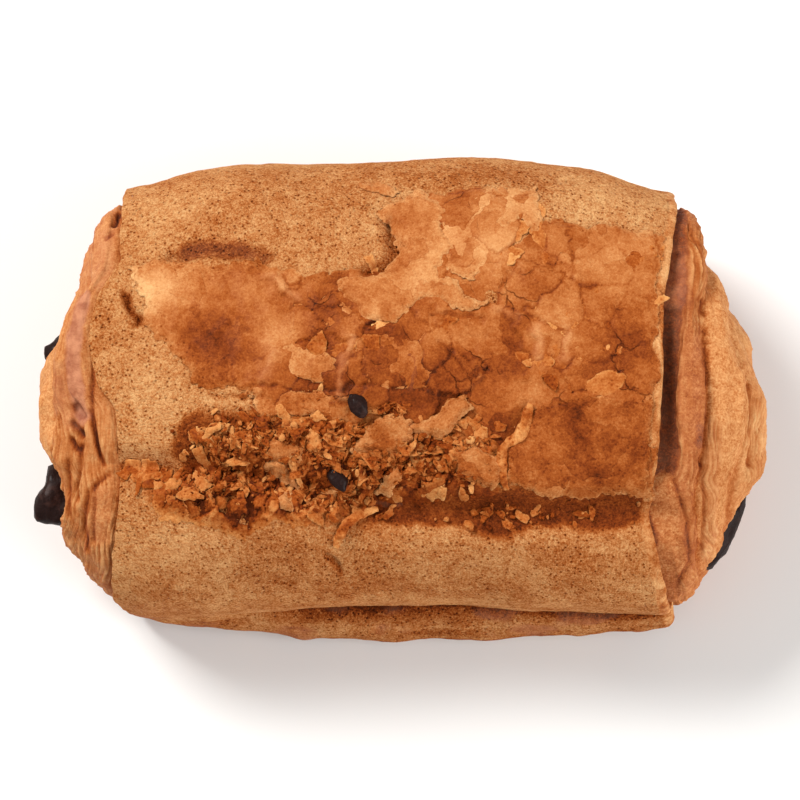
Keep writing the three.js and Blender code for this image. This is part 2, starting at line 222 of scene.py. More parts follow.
def fold(x, y, z, theta):
    """The crease falls in along its path; the foot stands out low at the front, under a cut-in seam."""
    on_top = smoothstep(np.sin(theta), 0.1, 0.4)
    crease = -CREASE_DEPTH * on_top * bell(y - soft_table(CREASE_PATH, x, 3), CREASE_HALF)
    begin, full, stay, end = SEAM_SPAN
    opened = smoothstep(x, begin, full) * (1 - smoothstep(x, stay, end))
    foot = soft_table(FOOT_BULGE, x, 3) * bell(z - FOOT_HEIGHT, FOOT_HALF)
    seam = -SEAM_DEPTH * opened * bell(z - SEAM_HEIGHT, SEAM_HALF)
    return crease + np.where(y < 0, foot + seam, 0)


def crust(x, theta, share=1.0, reach=0.0, lift=0.0):
    """A rounded square |y/side|^p + |z/tall|^p = share^p round the axis, moved outwards by swell, fold and lift."""
    c, s = np.cos(theta), np.sin(theta)
    behind, above = c > 0, s > 0
    side = np.where(behind, soft_table(BACK_WIDTH, x, 2), soft_table(FRONT_WIDTH, x, 2))
    crown = CROWN - CROWN_DROOP * np.clip(np.abs(x) / HALF_LENGTH, 0, 1) ** 4
    tall = np.where(above, crown, BELOW)
    square = np.where(above, np.where(behind, SQUARE_BACK, SQUARE_FRONT), SQUARE_BELOW)
    y = -TIP_FORWARD * (1 - share) + share * side * power_of(c, 2 / square)
    z = CENTRE_HEIGHT + TIP_RAISE * (1 - share) + share * tall * power_of(s, 2 / square)
    normal_y = power_of(c, 2 - 2 / square) / side
    normal_z = power_of(s, 2 - 2 / square) / tall
    size = np.hypot(normal_y, normal_z)
    waves = smoothstep(share, 0.4, 1) * blend(SIDE_SWELL, 1, np.maximum(s, 0)) * swell(x, y)
    outward = waves + smoothstep(share, 0.85, 1) * fold(x, y, z, theta)
    outward = outward + lift * np.minimum(1, 4 * share)
    y = y + normal_y / size * outward
    z = z + normal_z / size * outward
    return np.stack(np.broadcast_arrays(x + reach, y, z), -1)


def angle_over(x, y):
    """The angle whose place on the crust stands over (x, y), found by correcting a first guess six times."""
    aim = np.array(y, float)
    for _ in range(6):
        side = np.where(aim > 0, soft_table(BACK_WIDTH, x, 2), soft_table(FRONT_WIDTH, x, 2))
        square = np.where(aim > 0, SQUARE_BACK, SQUARE_FRONT)
        c = np.clip(power_of(aim / side, square / 2), -0.9995, 0.9995)
        theta = np.arccos(c)
        aim = aim + (y - crust(x, theta)[..., 1])
    return theta


# %% [markdown]
# ## Relief of the dough
#
# Under the skin the dough has risen in soft lumps and is torn by a few named dents: the dark crevice at
# the upper left, the hollow beside the pale flake, a slit at the left edge and the cracks between plates.
# The wrap and every sheet that lies on it read the same relief, so they stay together.

# %% Dents and lumps
# path in plan, depth, half width, how much painted shade darkens the dent
DENTS = [
    ([(-36, 17.6), (-33, 18.4), (-29, 17.9), (-24, 18), (-21.5, 16.8)], 1.5, 1.1, 0.16),
    ([(-2.3, 22.6), (-0.9, 18.6), (-2, 15.4), (-5.5, 14)], 1.5, 1.3, 0.26),
    ([(-42.9, 11), (-42.2, 8.6), (-41, 6.5)], 1.3, 0.6, 0.5),
    ([(-17, 8.4), (-13, 8.3), (-8.4, 7.6)], 0.35, 0.22, 0.14),
    ([(-29.7, -5.2), (-26.4, -6.1), (-22.5, -5)], 0.5, 0.3, 0.18),
    ([(-23.1, -3.8), (-20.5, -4.1), (-18.6, -4.3), (-15.5, -5), (-11.2, -4.7), (-6, -3.6)], 0.45, 0.22, 0.2),
    ([(3.8, 6.2), (6.9, 7), (12, 6.2)], 0.5, 0.35, 0.12),
    ([(-16.3, 2.4), (-14.5, 2.8), (-11.4, 2.1), (-9.9, 1.6)], 0.35, 0.22, 0.16),
    ([(5.4, 2.7), (7.7, 0.8), (8.9, -0.9), (10, -3.1), (11.5, -1.5), (13, -0.7)], 0.4, 0.25, 0.16),
    ([(-5.3, 6), (-3, 5.8), (-0.7, 6.6)], 0.35, 0.22, 0.18),
    ([(-18.8, 13.4), (-17.6, 11.9), (-16.1, 12.4)], 0.35, 0.22, 0.18),
    ([(-44, -15.4), (-34, -16.4), (-24, -17)], 0.5, 0.8, 0.22),
    ([(-11.9, -29), (-10.4, -30.4)], 0.9, 0.5, 0.4), ([(-20, -31.8), (-17.8, -32)], 0.5, 0.4, 0.3),
]
# soft ridges where the skin has buckled: path in plan, height, half width
BUCKLES = [
    ([(-8.3, 3.6), (-9, 0.4), (-9.9, -3), (-9.9, -5.4)], 0.5, 0.6),
    ([(1.2, 0.4), (1, -4.2)], 0.3, 0.5), ([(20.4, 5.2), (20.8, 0.4)], 0.4, 0.8),
    ([(-19.6, 1.6), (-21.9, -2.9)], 0.35, 0.9), ([(24.5, 4.4), (25.2, 0.6)], 0.3, 0.6),
    ([(-21, 13.6), (-16, 9.6)], 0.3, 0.7), ([(13.5, 8), (17.4, 6.8)], 0.3, 0.6),
]


def wandered(x, y):
    """The place moved by up to 1 mm of noise, so that a straight path comes out crooked."""
    return x + 0.8 * grain(x, y, 0, 2.6, 18, 4), y + 0.8 * grain(x, y, 0, 2.6, 19, 4)


def dent(x, y):
    """How deep the named dents cut in at each place, each one a bell across its crooked path."""
    x, y = wandered(x, y)
    return sum(depth * bell(path_distance(path, x, y), half) for path, depth, half, _ in DENTS)


def dent_shade(x, y):
    """How much painted shade darkens the dents at each place."""
    x, y = wandered(x, y)
    return sum(dark * bell(path_distance(path, x, y), 1.1 * half) for path, _, half, dark in DENTS)


def relief(x, y, z):
    """Lumps of four sizes, rougher low at the front, less the dents where the crust faces up."""
    lumps = 0.42 * grain(x, y, z, 11, 3) + 0.2 * grain(x, y, z, 4.6, 5) + 0.09 * grain(x, y, z, 1.9, 7, 2)
    foot = 0.4 * grain(x, y, z, 5, 9, 2) * (1 - smoothstep(z, 8, 13)) * smoothstep(-y, 20, 30)
    return lumps + foot - dent(x, y) * smoothstep(z, 25, 34)


def crust_height(x, y):
    """The height of the risen dough over a place in plan."""
    place = crust(x, angle_over(x, y))
    return place[..., 2] + relief(place[..., 0], place[..., 1], place[..., 2])


print("crown at", float(crust_height(np.array([0.0]), np.array([0.0]))[0].round(1)), "mm")

# %% [markdown]
# ## From arrays to a piece
#
# A piece is a mesh of whole arrays: places, then groups of faces, each group all quads or all triangles,
# with numbers per place that the materials read. Its place is in its vertices. The signed volume says
# whether it is inside out.

# %% Meshes
def outward(points, groups):
    """Turns all the faces round if the volume that they enclose is negative."""
    volume = 0
    for faces in groups:
        for corner in range(1, faces.shape[1] - 1):
            a, b, c = points[faces[:, 0]], points[faces[:, corner]], points[faces[:, corner + 1]]
            volume = volume + np.einsum("ij,ij->", a, np.cross(b, c))
    return groups if volume > 0 else [faces[:, ::-1] for faces in groups]


def add_piece(name, points, groups, material, replaced, slot, uv=None, **values):
    """Makes a smooth mesh object in metres from places in mm, and hangs it in the frame."""
    places = (np.asarray(points) + ROLL_PLACE) * MM
    corners = np.concatenate([faces.ravel() for faces in groups])
    sides = np.concatenate([np.full(len(faces), faces.shape[1]) for faces in groups])
    mesh = bpy.data.meshes.new(name)
    mesh.vertices.add(len(places))
    mesh.vertices.foreach_set("co", places.astype(np.float32).ravel())
    mesh.loops.add(len(corners))
    mesh.loops.foreach_set("vertex_index", corners.astype(np.int32))
    mesh.polygons.add(len(sides))
    mesh.polygons.foreach_set("loop_start", (np.cumsum(sides) - sides).astype(np.int32))
    mesh.polygons.foreach_set("use_smooth", np.ones(len(sides), bool))
    mesh.update(calc_edges=True)
    for key, numbers in values.items():
        layer = mesh.attributes.new(key, "FLOAT", "POINT")
        layer.data.foreach_set("value", np.broadcast_to(numbers, len(places)).astype(np.float32))
    if uv is not None:
        layer = mesh.uv_layers.new(name="layers")
        layer.data.foreach_set("uv", uv[corners].astype(np.float32).ravel())
    mesh.materials.append(material)
    piece = bpy.data.objects.new(name, mesh)
    bpy.context.scene.collection.objects.link(piece)
    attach(piece, "root")
    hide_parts(replaced)
    low, high = places.min(0) * 1000, places.max(0) * 1000
    print(name, len(places), "vertices,", (sides - 2).sum(), "triangles,", low.round(1), "to", high.round(1))
    return piece


def grid_faces(rows, columns, round_rows=False, round_columns=False):
    """The quads of a grid of places, closed on itself where asked."""
    i = np.arange(rows if round_rows else rows - 1)[:, None]
    j = np.arange(columns if round_columns else columns - 1)[None, :]
    after_i, after_j = (i + 1) % rows, (j + 1) % columns
    corners = [i * columns + j, after_i * columns + j, after_i * columns + after_j, i * columns + after_j]
    return np.stack([np.broadcast_to(c, (len(i), j.shape[1])) for c in corners], -1).reshape(-1, 4)


def pole_faces(ring, pole):
    """A fan of triangles from a closed ring to its pole."""
    return np.stack([ring, np.roll(ring, -1), np.full_like(ring, pole)], -1)


# %% [markdown]
# ## Materials
#
# The look of baked dough comes from how far each spot has browned. A number called `bake` runs from 0,
# pale dough, to 1, nearly burnt, and one colour ramp turns it into colour on every piece. In dents, cracks,
# pits, gaps and under ledges it also carries painted shade. `glaze` says how much egg-washed skin is left:
# it smooths the pores away and adds a thin coat. `rose` is the smooth pinkish brown of layers that lay
# against each other in the oven.
# Maths on the sockets is written as plain expressions by a small class.

# %% Shader maths as expressions
class Value:
    """One output of a node. Plain arithmetic on it adds Math nodes."""

    def __init__(self, recipe, socket):
        self.recipe = recipe
        self.socket = socket

    def maths(self, operation, first, second):
        return self.recipe.add("ShaderNodeMath", {"operation": operation}, {0: first, 1: second})

    def __add__(self, other):
        return self.maths("ADD", self, other)

    def __sub__(self, other):
        return self.maths("SUBTRACT", self, other)

    def __rsub__(self, other):
        return self.maths("SUBTRACT", other, self)

    def __mul__(self, other):
        return self.maths("MULTIPLY", self, other)

    __radd__ = __add__
    __rmul__ = __mul__

    def absolute(self):
        return self.recipe.add("ShaderNodeMath", {"operation": "ABSOLUTE"}, {0: self})

    def clipped(self):
        return self.recipe.add("ShaderNodeClamp", {}, {0: self})


class Recipe:
    """A material: one Principled shader and the nodes that feed it."""

    def __init__(self, name, constants):
        self.material = bpy.data.materials.new(name)
        self.material.use_nodes = True
        self.nodes = self.material.node_tree.nodes
        self.links = self.material.node_tree.links
        self.shader = self.nodes["Principled BSDF"]
        for socket, number in constants.items():
            self.shader.inputs[socket].default_value = number

    def add(self, kind, settings, sockets, output=0):
        """One node: its settings first, with a ramp's stops among them, then its sockets' values or links."""
        node = self.nodes.new(kind)
        for key, setting in settings.items():
            if key != "stops":
                setattr(node, key, setting)
                continue
            stops = node.color_ramp.elements
            for place, colour in setting[2:]:
                stops.new(place)
            for stop, (place, colour) in zip(stops, sorted(setting)):
                stop.position = place
                stop.color = colour
        for key, given in sockets.items():
            self.feed(node.inputs[key], given)
        return Value(self, node.outputs[output])

    def feed(self, socket, given):
        if isinstance(given, Value):
            self.links.new(given.socket, socket)
        else:
            socket.default_value = given

    def attribute(self, name):
        return self.add("ShaderNodeAttribute", {"attribute_name": name}, {}, output=2)

    def place(self):
        """The place on the object, in metres."""
        return self.add("ShaderNodeTexCoord", {}, {}, output=3)

    def noise(self, size, detail=2, rough=0.55, output=0):
        """Noise whose lumps are about `size` mm, spread from 0 to 1 with a strong middle."""
        sockets = {"Vector": self.place(), "Scale": 1 / (size * MM), "Detail": detail, "Roughness": rough}
        return self.add("ShaderNodeTexNoise", {}, sockets, output)

    def cells(self, size, place, feature="F1", output=0):
        """Cells about `size` mm wide, each the places nearest to one random place."""
        return self.add("ShaderNodeTexVoronoi", {"feature": feature}, {"Vector": place, "Scale": 1 / (size * MM)}, output)

    def mixed(self, share, first, second, kind="MIX"):
        """Two colours mixed."""
        settings = {"data_type": "RGBA", "blend_type": kind}
        return self.add("ShaderNodeMix", settings, {0: share, 6: first, 7: second}, output=2)

    def bumped(self, height, distance, strength=1.0):
        """A normal from a height from 0 to 1 that stands for `distance` mm."""
        return self.add("ShaderNodeBump", {}, {"Height": height, "Distance": distance * MM, "Strength": strength})

    def surface(self, **fed):
        for socket, given in fed.items():
            self.feed(self.shader.inputs[socket.replace("_", " ")], given)
        return self.material


# %% Colours of the bake
def linear(red, green, blue):
    """A screen colour from 0 to 255 as the linear numbers that a shader takes."""
    screen = np.array([red, green, blue]) / 255
    light = np.where(screen <= 0.04045, screen / 12.92, ((screen + 0.055) / 1.055) ** 2.4)
    return (*light.tolist(), 1.0)


BAKE_COLOURS = [
    (0.0, linear(237, 188, 126)),
    (0.2, linear(225, 167, 110)),
    (0.4, linear(205, 139, 84)),
    (0.55, linear(185, 111, 58)),
    (0.7, linear(159, 81, 31)),
    (0.85, linear(124, 54, 17)),
    (1.0, linear(78, 32, 10)),
]
ROSE_PALE = linear(206, 140, 104)
ROSE_DARK = linear(160, 94, 68)


def baked_colour(recipe, level, rose):
    """The ramp's colour at a bake level, mixed with mottled rose."""
    ramp = recipe.add("ShaderNodeValToRGB", {"stops": BAKE_COLOURS}, {0: level.clipped()})
    mottle = recipe.noise(1.6, detail=3)
    pinkish = recipe.mixed((mottle * 3 - 1).clipped(), ROSE_PALE, ROSE_DARK)
    return recipe.mixed(rose.clipped(), ramp, pinkish)


# %% Dough and skin
def cracks_of(recipe):
    """Thin cracks round plates of skin, darkened as painted shade, bent by noise and shown in some places only, and
    each plate's tone.
    """
    bend = recipe.noise(3.4, detail=3, rough=0.5, output=1)
    bend_by = (4.6 * MM,) * 3
    bent = recipe.add("ShaderNodeVectorMath", {"operation": "MULTIPLY_ADD"}, {0: bend, 1: bend_by, 2: recipe.place()})
    rim = recipe.cells(7, bent, "DISTANCE_TO_EDGE")
    tone = recipe.add("ShaderNodeSeparateColor", {}, {0: recipe.cells(7, bent, output=1)})
    shown = ((recipe.noise(8, detail=2) - 0.53) * 9).clipped() * recipe.attribute("cracking")
    width = 40 + (recipe.noise(1.2) - 0.5) * 90
    return (1 - rim * width).clipped() * shown, tone


def dough_finish(name, speckle, pore_depth, coat, warmth=0.0, cracked=False):
    """Porous dough that turns to smooth satin skin as `glaze` rises. `warmth` deepens it towards gold."""
    recipe = Recipe(name, {"Coat Roughness": 0.45, "Specular IOR Level": 0.03})
    bake = recipe.attribute("bake")
    glaze = recipe.attribute("glaze")
    rose = recipe.attribute("rose")
    open_dough = 1 - glaze
    finest = recipe.noise(0.34, detail=3, rough=0.75)
    fine = recipe.noise(1.0, detail=4, rough=0.72)
    middling = recipe.noise(2.6, detail=4, rough=0.65)
    broad = recipe.noise(8, detail=4, rough=0.6)
    pitted = (1 - recipe.cells(0.8, recipe.place()) * 3.4).clipped() * open_dough
    level = bake + (finest - 0.5) * (0.8 * speckle * open_dough + 0.4) + (fine - 0.5) * (0.3 * open_dough + 0.24)
    level = level + (middling - 0.5) * (0.2 * open_dough + 0.22) + (broad - 0.5) * (0.3 * open_dough + 0.2)
    # the pits darken the colour as painted shade in the pores
    level = level + pitted * 0.44
    height = finest * (0.4 * open_dough + 0.16) + fine * (0.7 * open_dough + 0.4) - pitted * 0.6
    if cracked:
        cracks, tone = cracks_of(recipe)
        # the cracks darken the colour as painted shade; each plate's tone is its own
        level = level + cracks * 0.13 + (tone - 0.5) * 0.16
        height = height - cracks * 0.5 + tone * 0.5
    colour = baked_colour(recipe, level, rose)
    if warmth:
        colour = recipe.mixed(warmth, colour, linear(255, 226, 150), kind="MULTIPLY")
    return recipe.surface(
        Base_Color=colour,
        Roughness=0.88 - glaze * 0.34 + (middling - 0.5) * 0.3,
        Coat_Weight=glaze * coat,
        Normal=recipe.bumped(height, pore_depth),
    )


crust_dough = dough_finish("crust_dough", speckle=1.0, pore_depth=0.6, coat=0.04)
glazed_skin = dough_finish("glazed_skin", speckle=0.4, pore_depth=0.4, coat=0.05, cracked=True)
golden_flake = dough_finish("golden_flake", speckle=0.3, pore_depth=0.25, coat=0.08, warmth=0.35)

# %% [markdown]
# ## How far each spot has browned
#
# Baking isn't even: the sheet of skin is pale where it lies thin at the left and dark where egg wash
# pooled. Each soft spot is a bell in plan with its own size and strength, set from the photo.

# %% The browning in plan
# x, y, half length along X, half length along Y, how much darker (or paler) the bake is
SKIN_SPOTS = [
    (-40, 12, 5, 4, -0.4), (-34, 12, 5, 4, -0.24), (-27, 2, 6, 5, 0.15), (-31, 6, 4, 4, 0.06),
    (-22, 10, 5, 4, -0.12), (-19, 4, 4, 3, -0.14), (-18, -3, 4, 3, 0.06), (-8, 1, 2.2, 6, -0.08),
    (0, -2, 7, 5, 0.1), (10, 2, 6, 6, 0), (14, 16, 5, 9, -0.16), (30, 17, 9, 4, -0.12),
    (24, 8, 5, 5, 0.02), (21, 3, 4, 4, -0.12), (30, 2, 8, 4, 0.05), (27, -12, 8, 6, 0.08),
    (34, -8, 5, 5, 0.06), (36, 10, 4, 5, -0.03), (19, -4, 3, 3, -0.1),
]
DOUGH_SPOTS = [
    (-24, 25, 16, 7, 0.02), (-38, 22, 5, 6, -0.12), (-37, -6, 7, 7, -0.04), (-36, -27, 8, 5, -0.1),
    (24, -30, 22, 6, 0.03), (-15, -30, 20, 6, 0.07), (12, 31, 12, 3, 0.14), (30, 26, 10, 6, -0.12),
]
# path in plan, half width, softness of its border, bake, glaze, rose
TOP_PATCHES = [
    ([(-45, -15.9), (-41, -16.6), (-37, -18)], 0.9, 1.2, 0.62, 0.4, 0),
    ([(-37, -18.8), (-32, -19.6), (-24, -21), (-14, -22), (-6, -22.5)], 2.4, 2.2, 0.64, 0.5, 0),
    ([(-30.5, -12.5), (-21, -13.5), (-10, -14.5), (0, -15.5), (7, -16)], 4.6, 2.4, 0.84, 0.45, 0),
    ([(-4, -21.4), (8, -21.4), (24, -21.2), (38, -20.8)], 2.6, 1.4, 0.86, 0.7, 0),
    ([(9, -22.8), (14, -24.2), (18, -24)], 1.6, 1.8, 0.88, 0.7, 0),
    ([(23, -23), (28, -23.8), (33, -22.6)], 1.4, 1.8, 0.88, 0.7, 0),
    ([(6, 19), (9, 15)], 3, 2, 0.7, 0.5, 0),
    ([(-34, 17.6), (-31, 18.4), (-28.5, 18), (-26, 18.3), (-22, 16.6)], 1.0, 2.2, 0.76, 0.1, 0.16),
]


def soft_spots(spots, x, y):
    """The sum of bells, each with its own half lengths and strength."""
    return sum(dark * np.exp(-((x - at_x) / wide) ** 2 - ((y - at_y) / deep) ** 2)
               for at_x, at_y, wide, deep, dark in spots)


def painted(patches, x, y, seen, ragged, values):
    """Lays patches over bake, glaze and rose: each is full inside its path's half width and torn at its rim."""
    for path, half, soft, *patch in patches:
        far = path_distance(path, x, y) + ragged * min(1, half / 2)
        cover = (1 - smoothstep(far, half - soft / 2, half + soft / 2)) * seen
        values = [blend(value, new, cover) for value, new in zip(values, patch)]
    return values


def dough_browning(x, y, z):
    """bake, glaze and rose of the dough under the skin, with painted shade in the dents and under the seam; the sides
    are evener and darker towards the bottom.
    """
    seen = smoothstep(z, 14, 26)
    bake = 0.45 + soft_spots(DOUGH_SPOTS, x, y) * seen + dent_shade(x, y) * smoothstep(z, 25, 34)
    bake, glaze, rose = painted(TOP_PATCHES, x, y, seen, 0.8 * grain(x, y, z, 3.2, 21, 3), [bake, 0 * x, 0 * x])
    front = y < 0
    # the darker line along the seam is painted shade under the ledge of the upper layer
    seam = bell(z - SEAM_HEIGHT + 0.6, 2) * front * smoothstep(x, -30, -12)
    layered = 0.1 * ridges(0.12 * x, 0.12 * y, z, 1.6, 23, 2) * (1 - smoothstep(z, 9, 12))
    under = (1 - smoothstep(z, 2, 14)) * 0.14
    smooth = smoothstep(grain(x, y, 2 * z, 8, 27, 3), 0.1, 0.5) * (1 - smoothstep(z, 9, 12)) * front
    bake = bake + under + 0.5 * seam - layered + 0.12 * smooth
    return bake, np.maximum(glaze, 0.3 * smooth), np.maximum(rose, 0.35 * smooth)


# %% [markdown]
# ## The outer wrap
#
# The outermost layer of dough goes all the way round the roll and ends in a lip at each side. It is
# made as a closed ring: its outer face, a rounded lip, its inner face just inside, and the other lip.
# One loop of these, carried round the section by the angle, is a grid that is closed both ways.

# %% Angles round the section
FINE_STEP = 0.42
COARSE_STEP = 1.3
SHOWN_ABOVE = 9.0


def ring_angles(fine, coarse):
    """Angles whose steps are evenly long along the section: fine where the crust shows, coarse below."""
    theta = np.linspace(0, 2 * np.pi, 6001)
    section = crust(np.zeros_like(theta), theta)
    length = np.hypot(*np.diff(section[:, 1:], axis=0).T)
    pace = blend(coarse, fine, smoothstep(section[1:, 2], SHOWN_ABOVE - 5, SHOWN_ABOVE))
    steps = np.concatenate([[0], np.cumsum(length / pace)])
    count = int(round(steps[-1]))
    return np.interp(np.arange(count) * steps[-1] / count, steps, theta)


# how far the wrap's two edges stray from straight, by the angle in degrees
LEFT_STRAY = [
    (0, 0.6), (40, 0.9), (62, 1), (72, -2.4), (85, -3.5), (96, -1.8), (101, 0.7), (120, 1.4), (150, -0.2),
    (180, -0.9), (205, 0.6), (360, 0.6),
]
RIGHT_STRAY = [
    (0, 0), (40, 0), (62, -1.9), (75, -3), (97, -3.6), (112, -4.1), (125, -5), (133, -4.9), (145, -3.8),
    (160, -2.2), (180, -1), (200, 0.8), (360, 0),
]
# how far the rounded lips reach out, and the share of the section at the wrap's inner face
LEFT_LIP = (0.5, 0.974)
RIGHT_LIP = (1.7, 0.95)
MIDDLE_INSIDE = 0.89


def lip_line(edge, stray, theta, seed):
    """Where the wrap ends at each angle: its edge, its stray and a ragged tear."""
    round_x, round_y = 30 * np.cos(theta), 30 * np.sin(theta)
    ragged = 0.3 * grain(round_x, round_y, 0, 4, seed, 3)
    return edge + soft_table(stray, np.degrees(theta), 1.5) + ragged


def make_wrap():
    """Outer face, right lip, inner face and left lip as one closed loop, carried round by the angle."""
    theta = ring_angles(FINE_STEP, COARSE_STEP)[:, None]
    along = np.linspace(0, 1, int((RIGHT_EDGE - LEFT_EDGE) / FINE_STEP))
    turn = np.linspace(0, np.pi, 11)[1:-1]
    back = np.array([1, 0.98, 0.96, 0.75, 0.5, 0.25, 0.04, 0.02, 0])
    (left_reach, left_inside), (right_reach, right_inside) = LEFT_LIP, RIGHT_LIP
    share = np.concatenate([
        np.ones_like(along), 1 - (1 - right_inside) / 2 * (1 - np.cos(turn)),
        np.interp(back, [0, 0.04, 0.96, 1], [left_inside, MIDDLE_INSIDE, MIDDLE_INSIDE, right_inside]),
        1 - (1 - left_inside) / 2 * (1 + np.cos(turn)),
    ])
    reach = np.concatenate([0 * along, right_reach * np.sin(turn), 0 * back, -left_reach * np.sin(turn)])
    place = np.concatenate([along, np.ones_like(turn), back, np.zeros_like(turn)])
    left = lip_line(LEFT_EDGE, LEFT_STRAY, theta, 31)
    right = lip_line(RIGHT_EDGE, RIGHT_STRAY, theta, 32)
    x = blend(left, right, place[None, :])
    points = crust(x, theta, share[None, :], reach[None, :])
    outer = smoothstep(share, 0.96, 1)[None, :]
    points = crust(x, theta, share[None, :], reach[None, :], relief(*np.moveaxis(points, -1, 0)) * outer)
    lowest = np.where(share < 0.99, 1.2, 0.0)[None, :]
    points[..., 2] = np.maximum(points[..., 2], lowest)
    groups = [grid_faces(*points.shape[:2], round_rows=True, round_columns=True)]
    on_lip = np.broadcast_to((reach > 0.05)[None, :], points.shape[:2]).ravel()
    points = points.reshape(-1, 3)
    bake, glaze, rose = dough_browning(*points.T)
    edge_lines = grain(points[:, 0], 0.15 * points[:, 1], points[:, 2], 0.8, 33)
    bake = np.where(on_lip, blend(bake, 0.48 + 0.3 * edge_lines, 0.9), bake)
    glaze = np.where(on_lip, 0.6, glaze)
    groups = outward(points, groups)
    return add_piece("wrap", points, groups, crust_dough, "pastry", "crust", bake=bake, glaze=glaze, rose=rose)


wrap = make_wrap()

# %% [markdown]
# ## The rolled layers at the ends
#
# Inside the wrap the dough is rolled on, and at each end its layers slide out past one another. The ends
# are one body with the roll inside: rings that shrink to a pole along a profile of share and reach. The
# fine layers are ridged noise stretched along the rings, and a UV map in mm lets the material follow them.

# %% End profiles
# over the top the layers stand apart, and lower down they lie together: share of the section, reach
LEFT_TOP = [
    (0.93, -8), (0.89, -1.5), (0.88, 0), (0.9, 1), (0.945, 2.2), (0.915, 3.9), (0.875, 5.4), (0.83, 5.5),
    (0.8, 6.6), (0.76, 8.4), (0.69, 9.6), (0.635, 9.6), (0.6, 10.8), (0.5, 12.3), (0.27, 13), (0, 13),
]
LEFT_LOW = [
    (0.95, -8), (0.95, -1.5), (0.945, 1.3), (0.93, 1.8), (0.9, 2.3), (0.87, 3), (0.84, 3.9), (0.8, 4.6), (0.77, 5.5),
    (0.72, 6.3), (0.65, 7.3), (0.59, 7.9), (0.54, 8.9), (0.43, 10.3), (0.24, 12.2), (0, 13),
]
RIGHT_TOP = [
    (0.88, -8), (0.84, -2), (0.84, 1), (0.865, 3.2), (0.93, 4.4), (0.92, 5.7), (0.885, 6.8), (0.82, 7),
    (0.815, 7.7), (0.775, 10), (0.7, 12.1), (0.64, 12.4), (0.6, 13.8), (0.47, 15.4), (0.25, 15.9), (0, 16.1),
]
RIGHT_LOW = [
    (0.93, -8), (0.93, -1), (0.935, 2.6), (0.925, 3.1), (0.915, 3.8), (0.89, 5), (0.85, 6.6), (0.8, 7.5), (0.78, 8.4),
    (0.72, 9.9), (0.64, 11.4), (0.59, 11.9), (0.54, 12.9), (0.42, 14.6), (0.22, 15.7), (0, 16.1),
]
# how far the crevice under the lip is open along the roll's width, and the share where it is shut
LEFT_GAP = (0.95, [(-30, 0), (30, 0)])
RIGHT_GAP = (0.94, [
    (-19.5, 0), (-17, 0.6), (-12, 0.95), (-4, 1), (5, 1), (9, 0.7), (13, 0.4), (20.5, 0.35), (23.5, 0),
])
# at HOLD_AT of the way out, the ends are pressed in at the back and the front
LEFT_HOLD = (0.4, -0.05)
RIGHT_HOLD = (0.46, 0.22)
HOLD_AT = 0.64
HOLD_HALF = 0.24
# where the dough is pressed in round a stick: y, z, half width, half height, depth
LEFT_MOUTHS = [(-16.4, 21.5, 6, 12, 5), (6.4, 20.5, 3.6, 11, 3.8)]
RIGHT_MOUTHS = [(-17.6, 20.4, 3.2, 10, 0.9), (1, 21, 5, 12, 1.5), (17.8, 24, 2.4, 11, 1.6)]
END_RINGS = 128
END_STEP = 0.5


def end_rings(top, low, count):
    """Both profiles read at `count` places, evenly spaced along the upper one and rounded a little."""
    top, low = np.array(top, float), np.array(low, float)
    length = np.hypot(25 * np.diff(top[:, 0]), np.diff(top[:, 1]))
    steps = np.concatenate([[0], np.cumsum(np.clip(length, 0.6, 4))])
    row = np.interp(np.linspace(0, steps[-1], count), steps, np.arange(len(top)))
    index = np.arange(len(top))
    read = [soft_table(np.stack([index, profile[:, k]], -1), row, 0.12) for profile in (top, low) for k in (0, 1)]
    for values, profile, k in zip(read, (top, top, low, low), (0, 1, 0, 1)):
        values[-1] = profile[-1, k]
    return row, read


def end_cap(edge, stray, out, top, low, hold, gap, mouths, theta, seed):
    """Rings of places from under the lip to the tip: upper and lower profile mixed by the angle."""
    row, (top_share, top_reach, low_share, low_reach) = end_rings(top, low, END_RINGS)
    opened = np.clip(1.6 * np.sin(theta), 0, 1)
    share = blend(low_share, top_share, opened)
    reach = blend(low_reach, top_reach, opened)
    behind, front = hold
    pressed = np.where(np.cos(theta) > 0, behind * np.cos(theta), -front * np.cos(theta))
    pressed = pressed * bell(share - HOLD_AT, HOLD_HALF) * np.minimum(1, 5 * share)
    reach = reach * (1 - pressed * (reach > 0))
    around = 26 * np.cos(theta), 26 * np.sin(theta)
    stray_rows = smoothstep(row, 2, 5) * (1 - smoothstep(row, 12, 15))
    reach = reach + 0.8 * stray_rows * grain(around[0], around[1], 4 * row, 9, seed, 2)
    shut_share, shut_rows = gap
    width = crust(edge + 0 * theta, theta)[..., 1]
    shut = (1 - table(shut_rows, width)) * smoothstep(row, 0.7, 1.3) * (1 - smoothstep(row, 3.2, 4.3)) * opened
    share = blend(share, np.maximum(share, shut_share), shut)
    start = edge + soft_table(stray, np.degrees(theta), 1.5) * share ** 3
    points = crust(start, theta, share, out * reach)
    ragged = 0.16 * grain(points[..., 0], points[..., 1], points[..., 2], 5, seed + 1, 2)
    for y, z, wide, high, depth in mouths:
        far = np.hypot((points[..., 1] - y) / wide, (points[..., 2] - z) / high) + ragged
        points[..., 0] -= out * depth * (1 - smoothstep(far, 0.5, 1.35)) * smoothstep(row, 4, 7)
    return row, share, points


def grid_normals(points):
    """The unit normals of a grid that is closed along its first side, turned away from its axis."""
    round_step = np.roll(points, -1, 0) - np.roll(points, 1, 0)
    out_step = np.gradient(points, axis=1)
    normals = np.cross(round_step, out_step)
    return normals / (np.linalg.norm(normals, axis=-1, keepdims=True) + 1e-9)


print("end rings", END_RINGS)
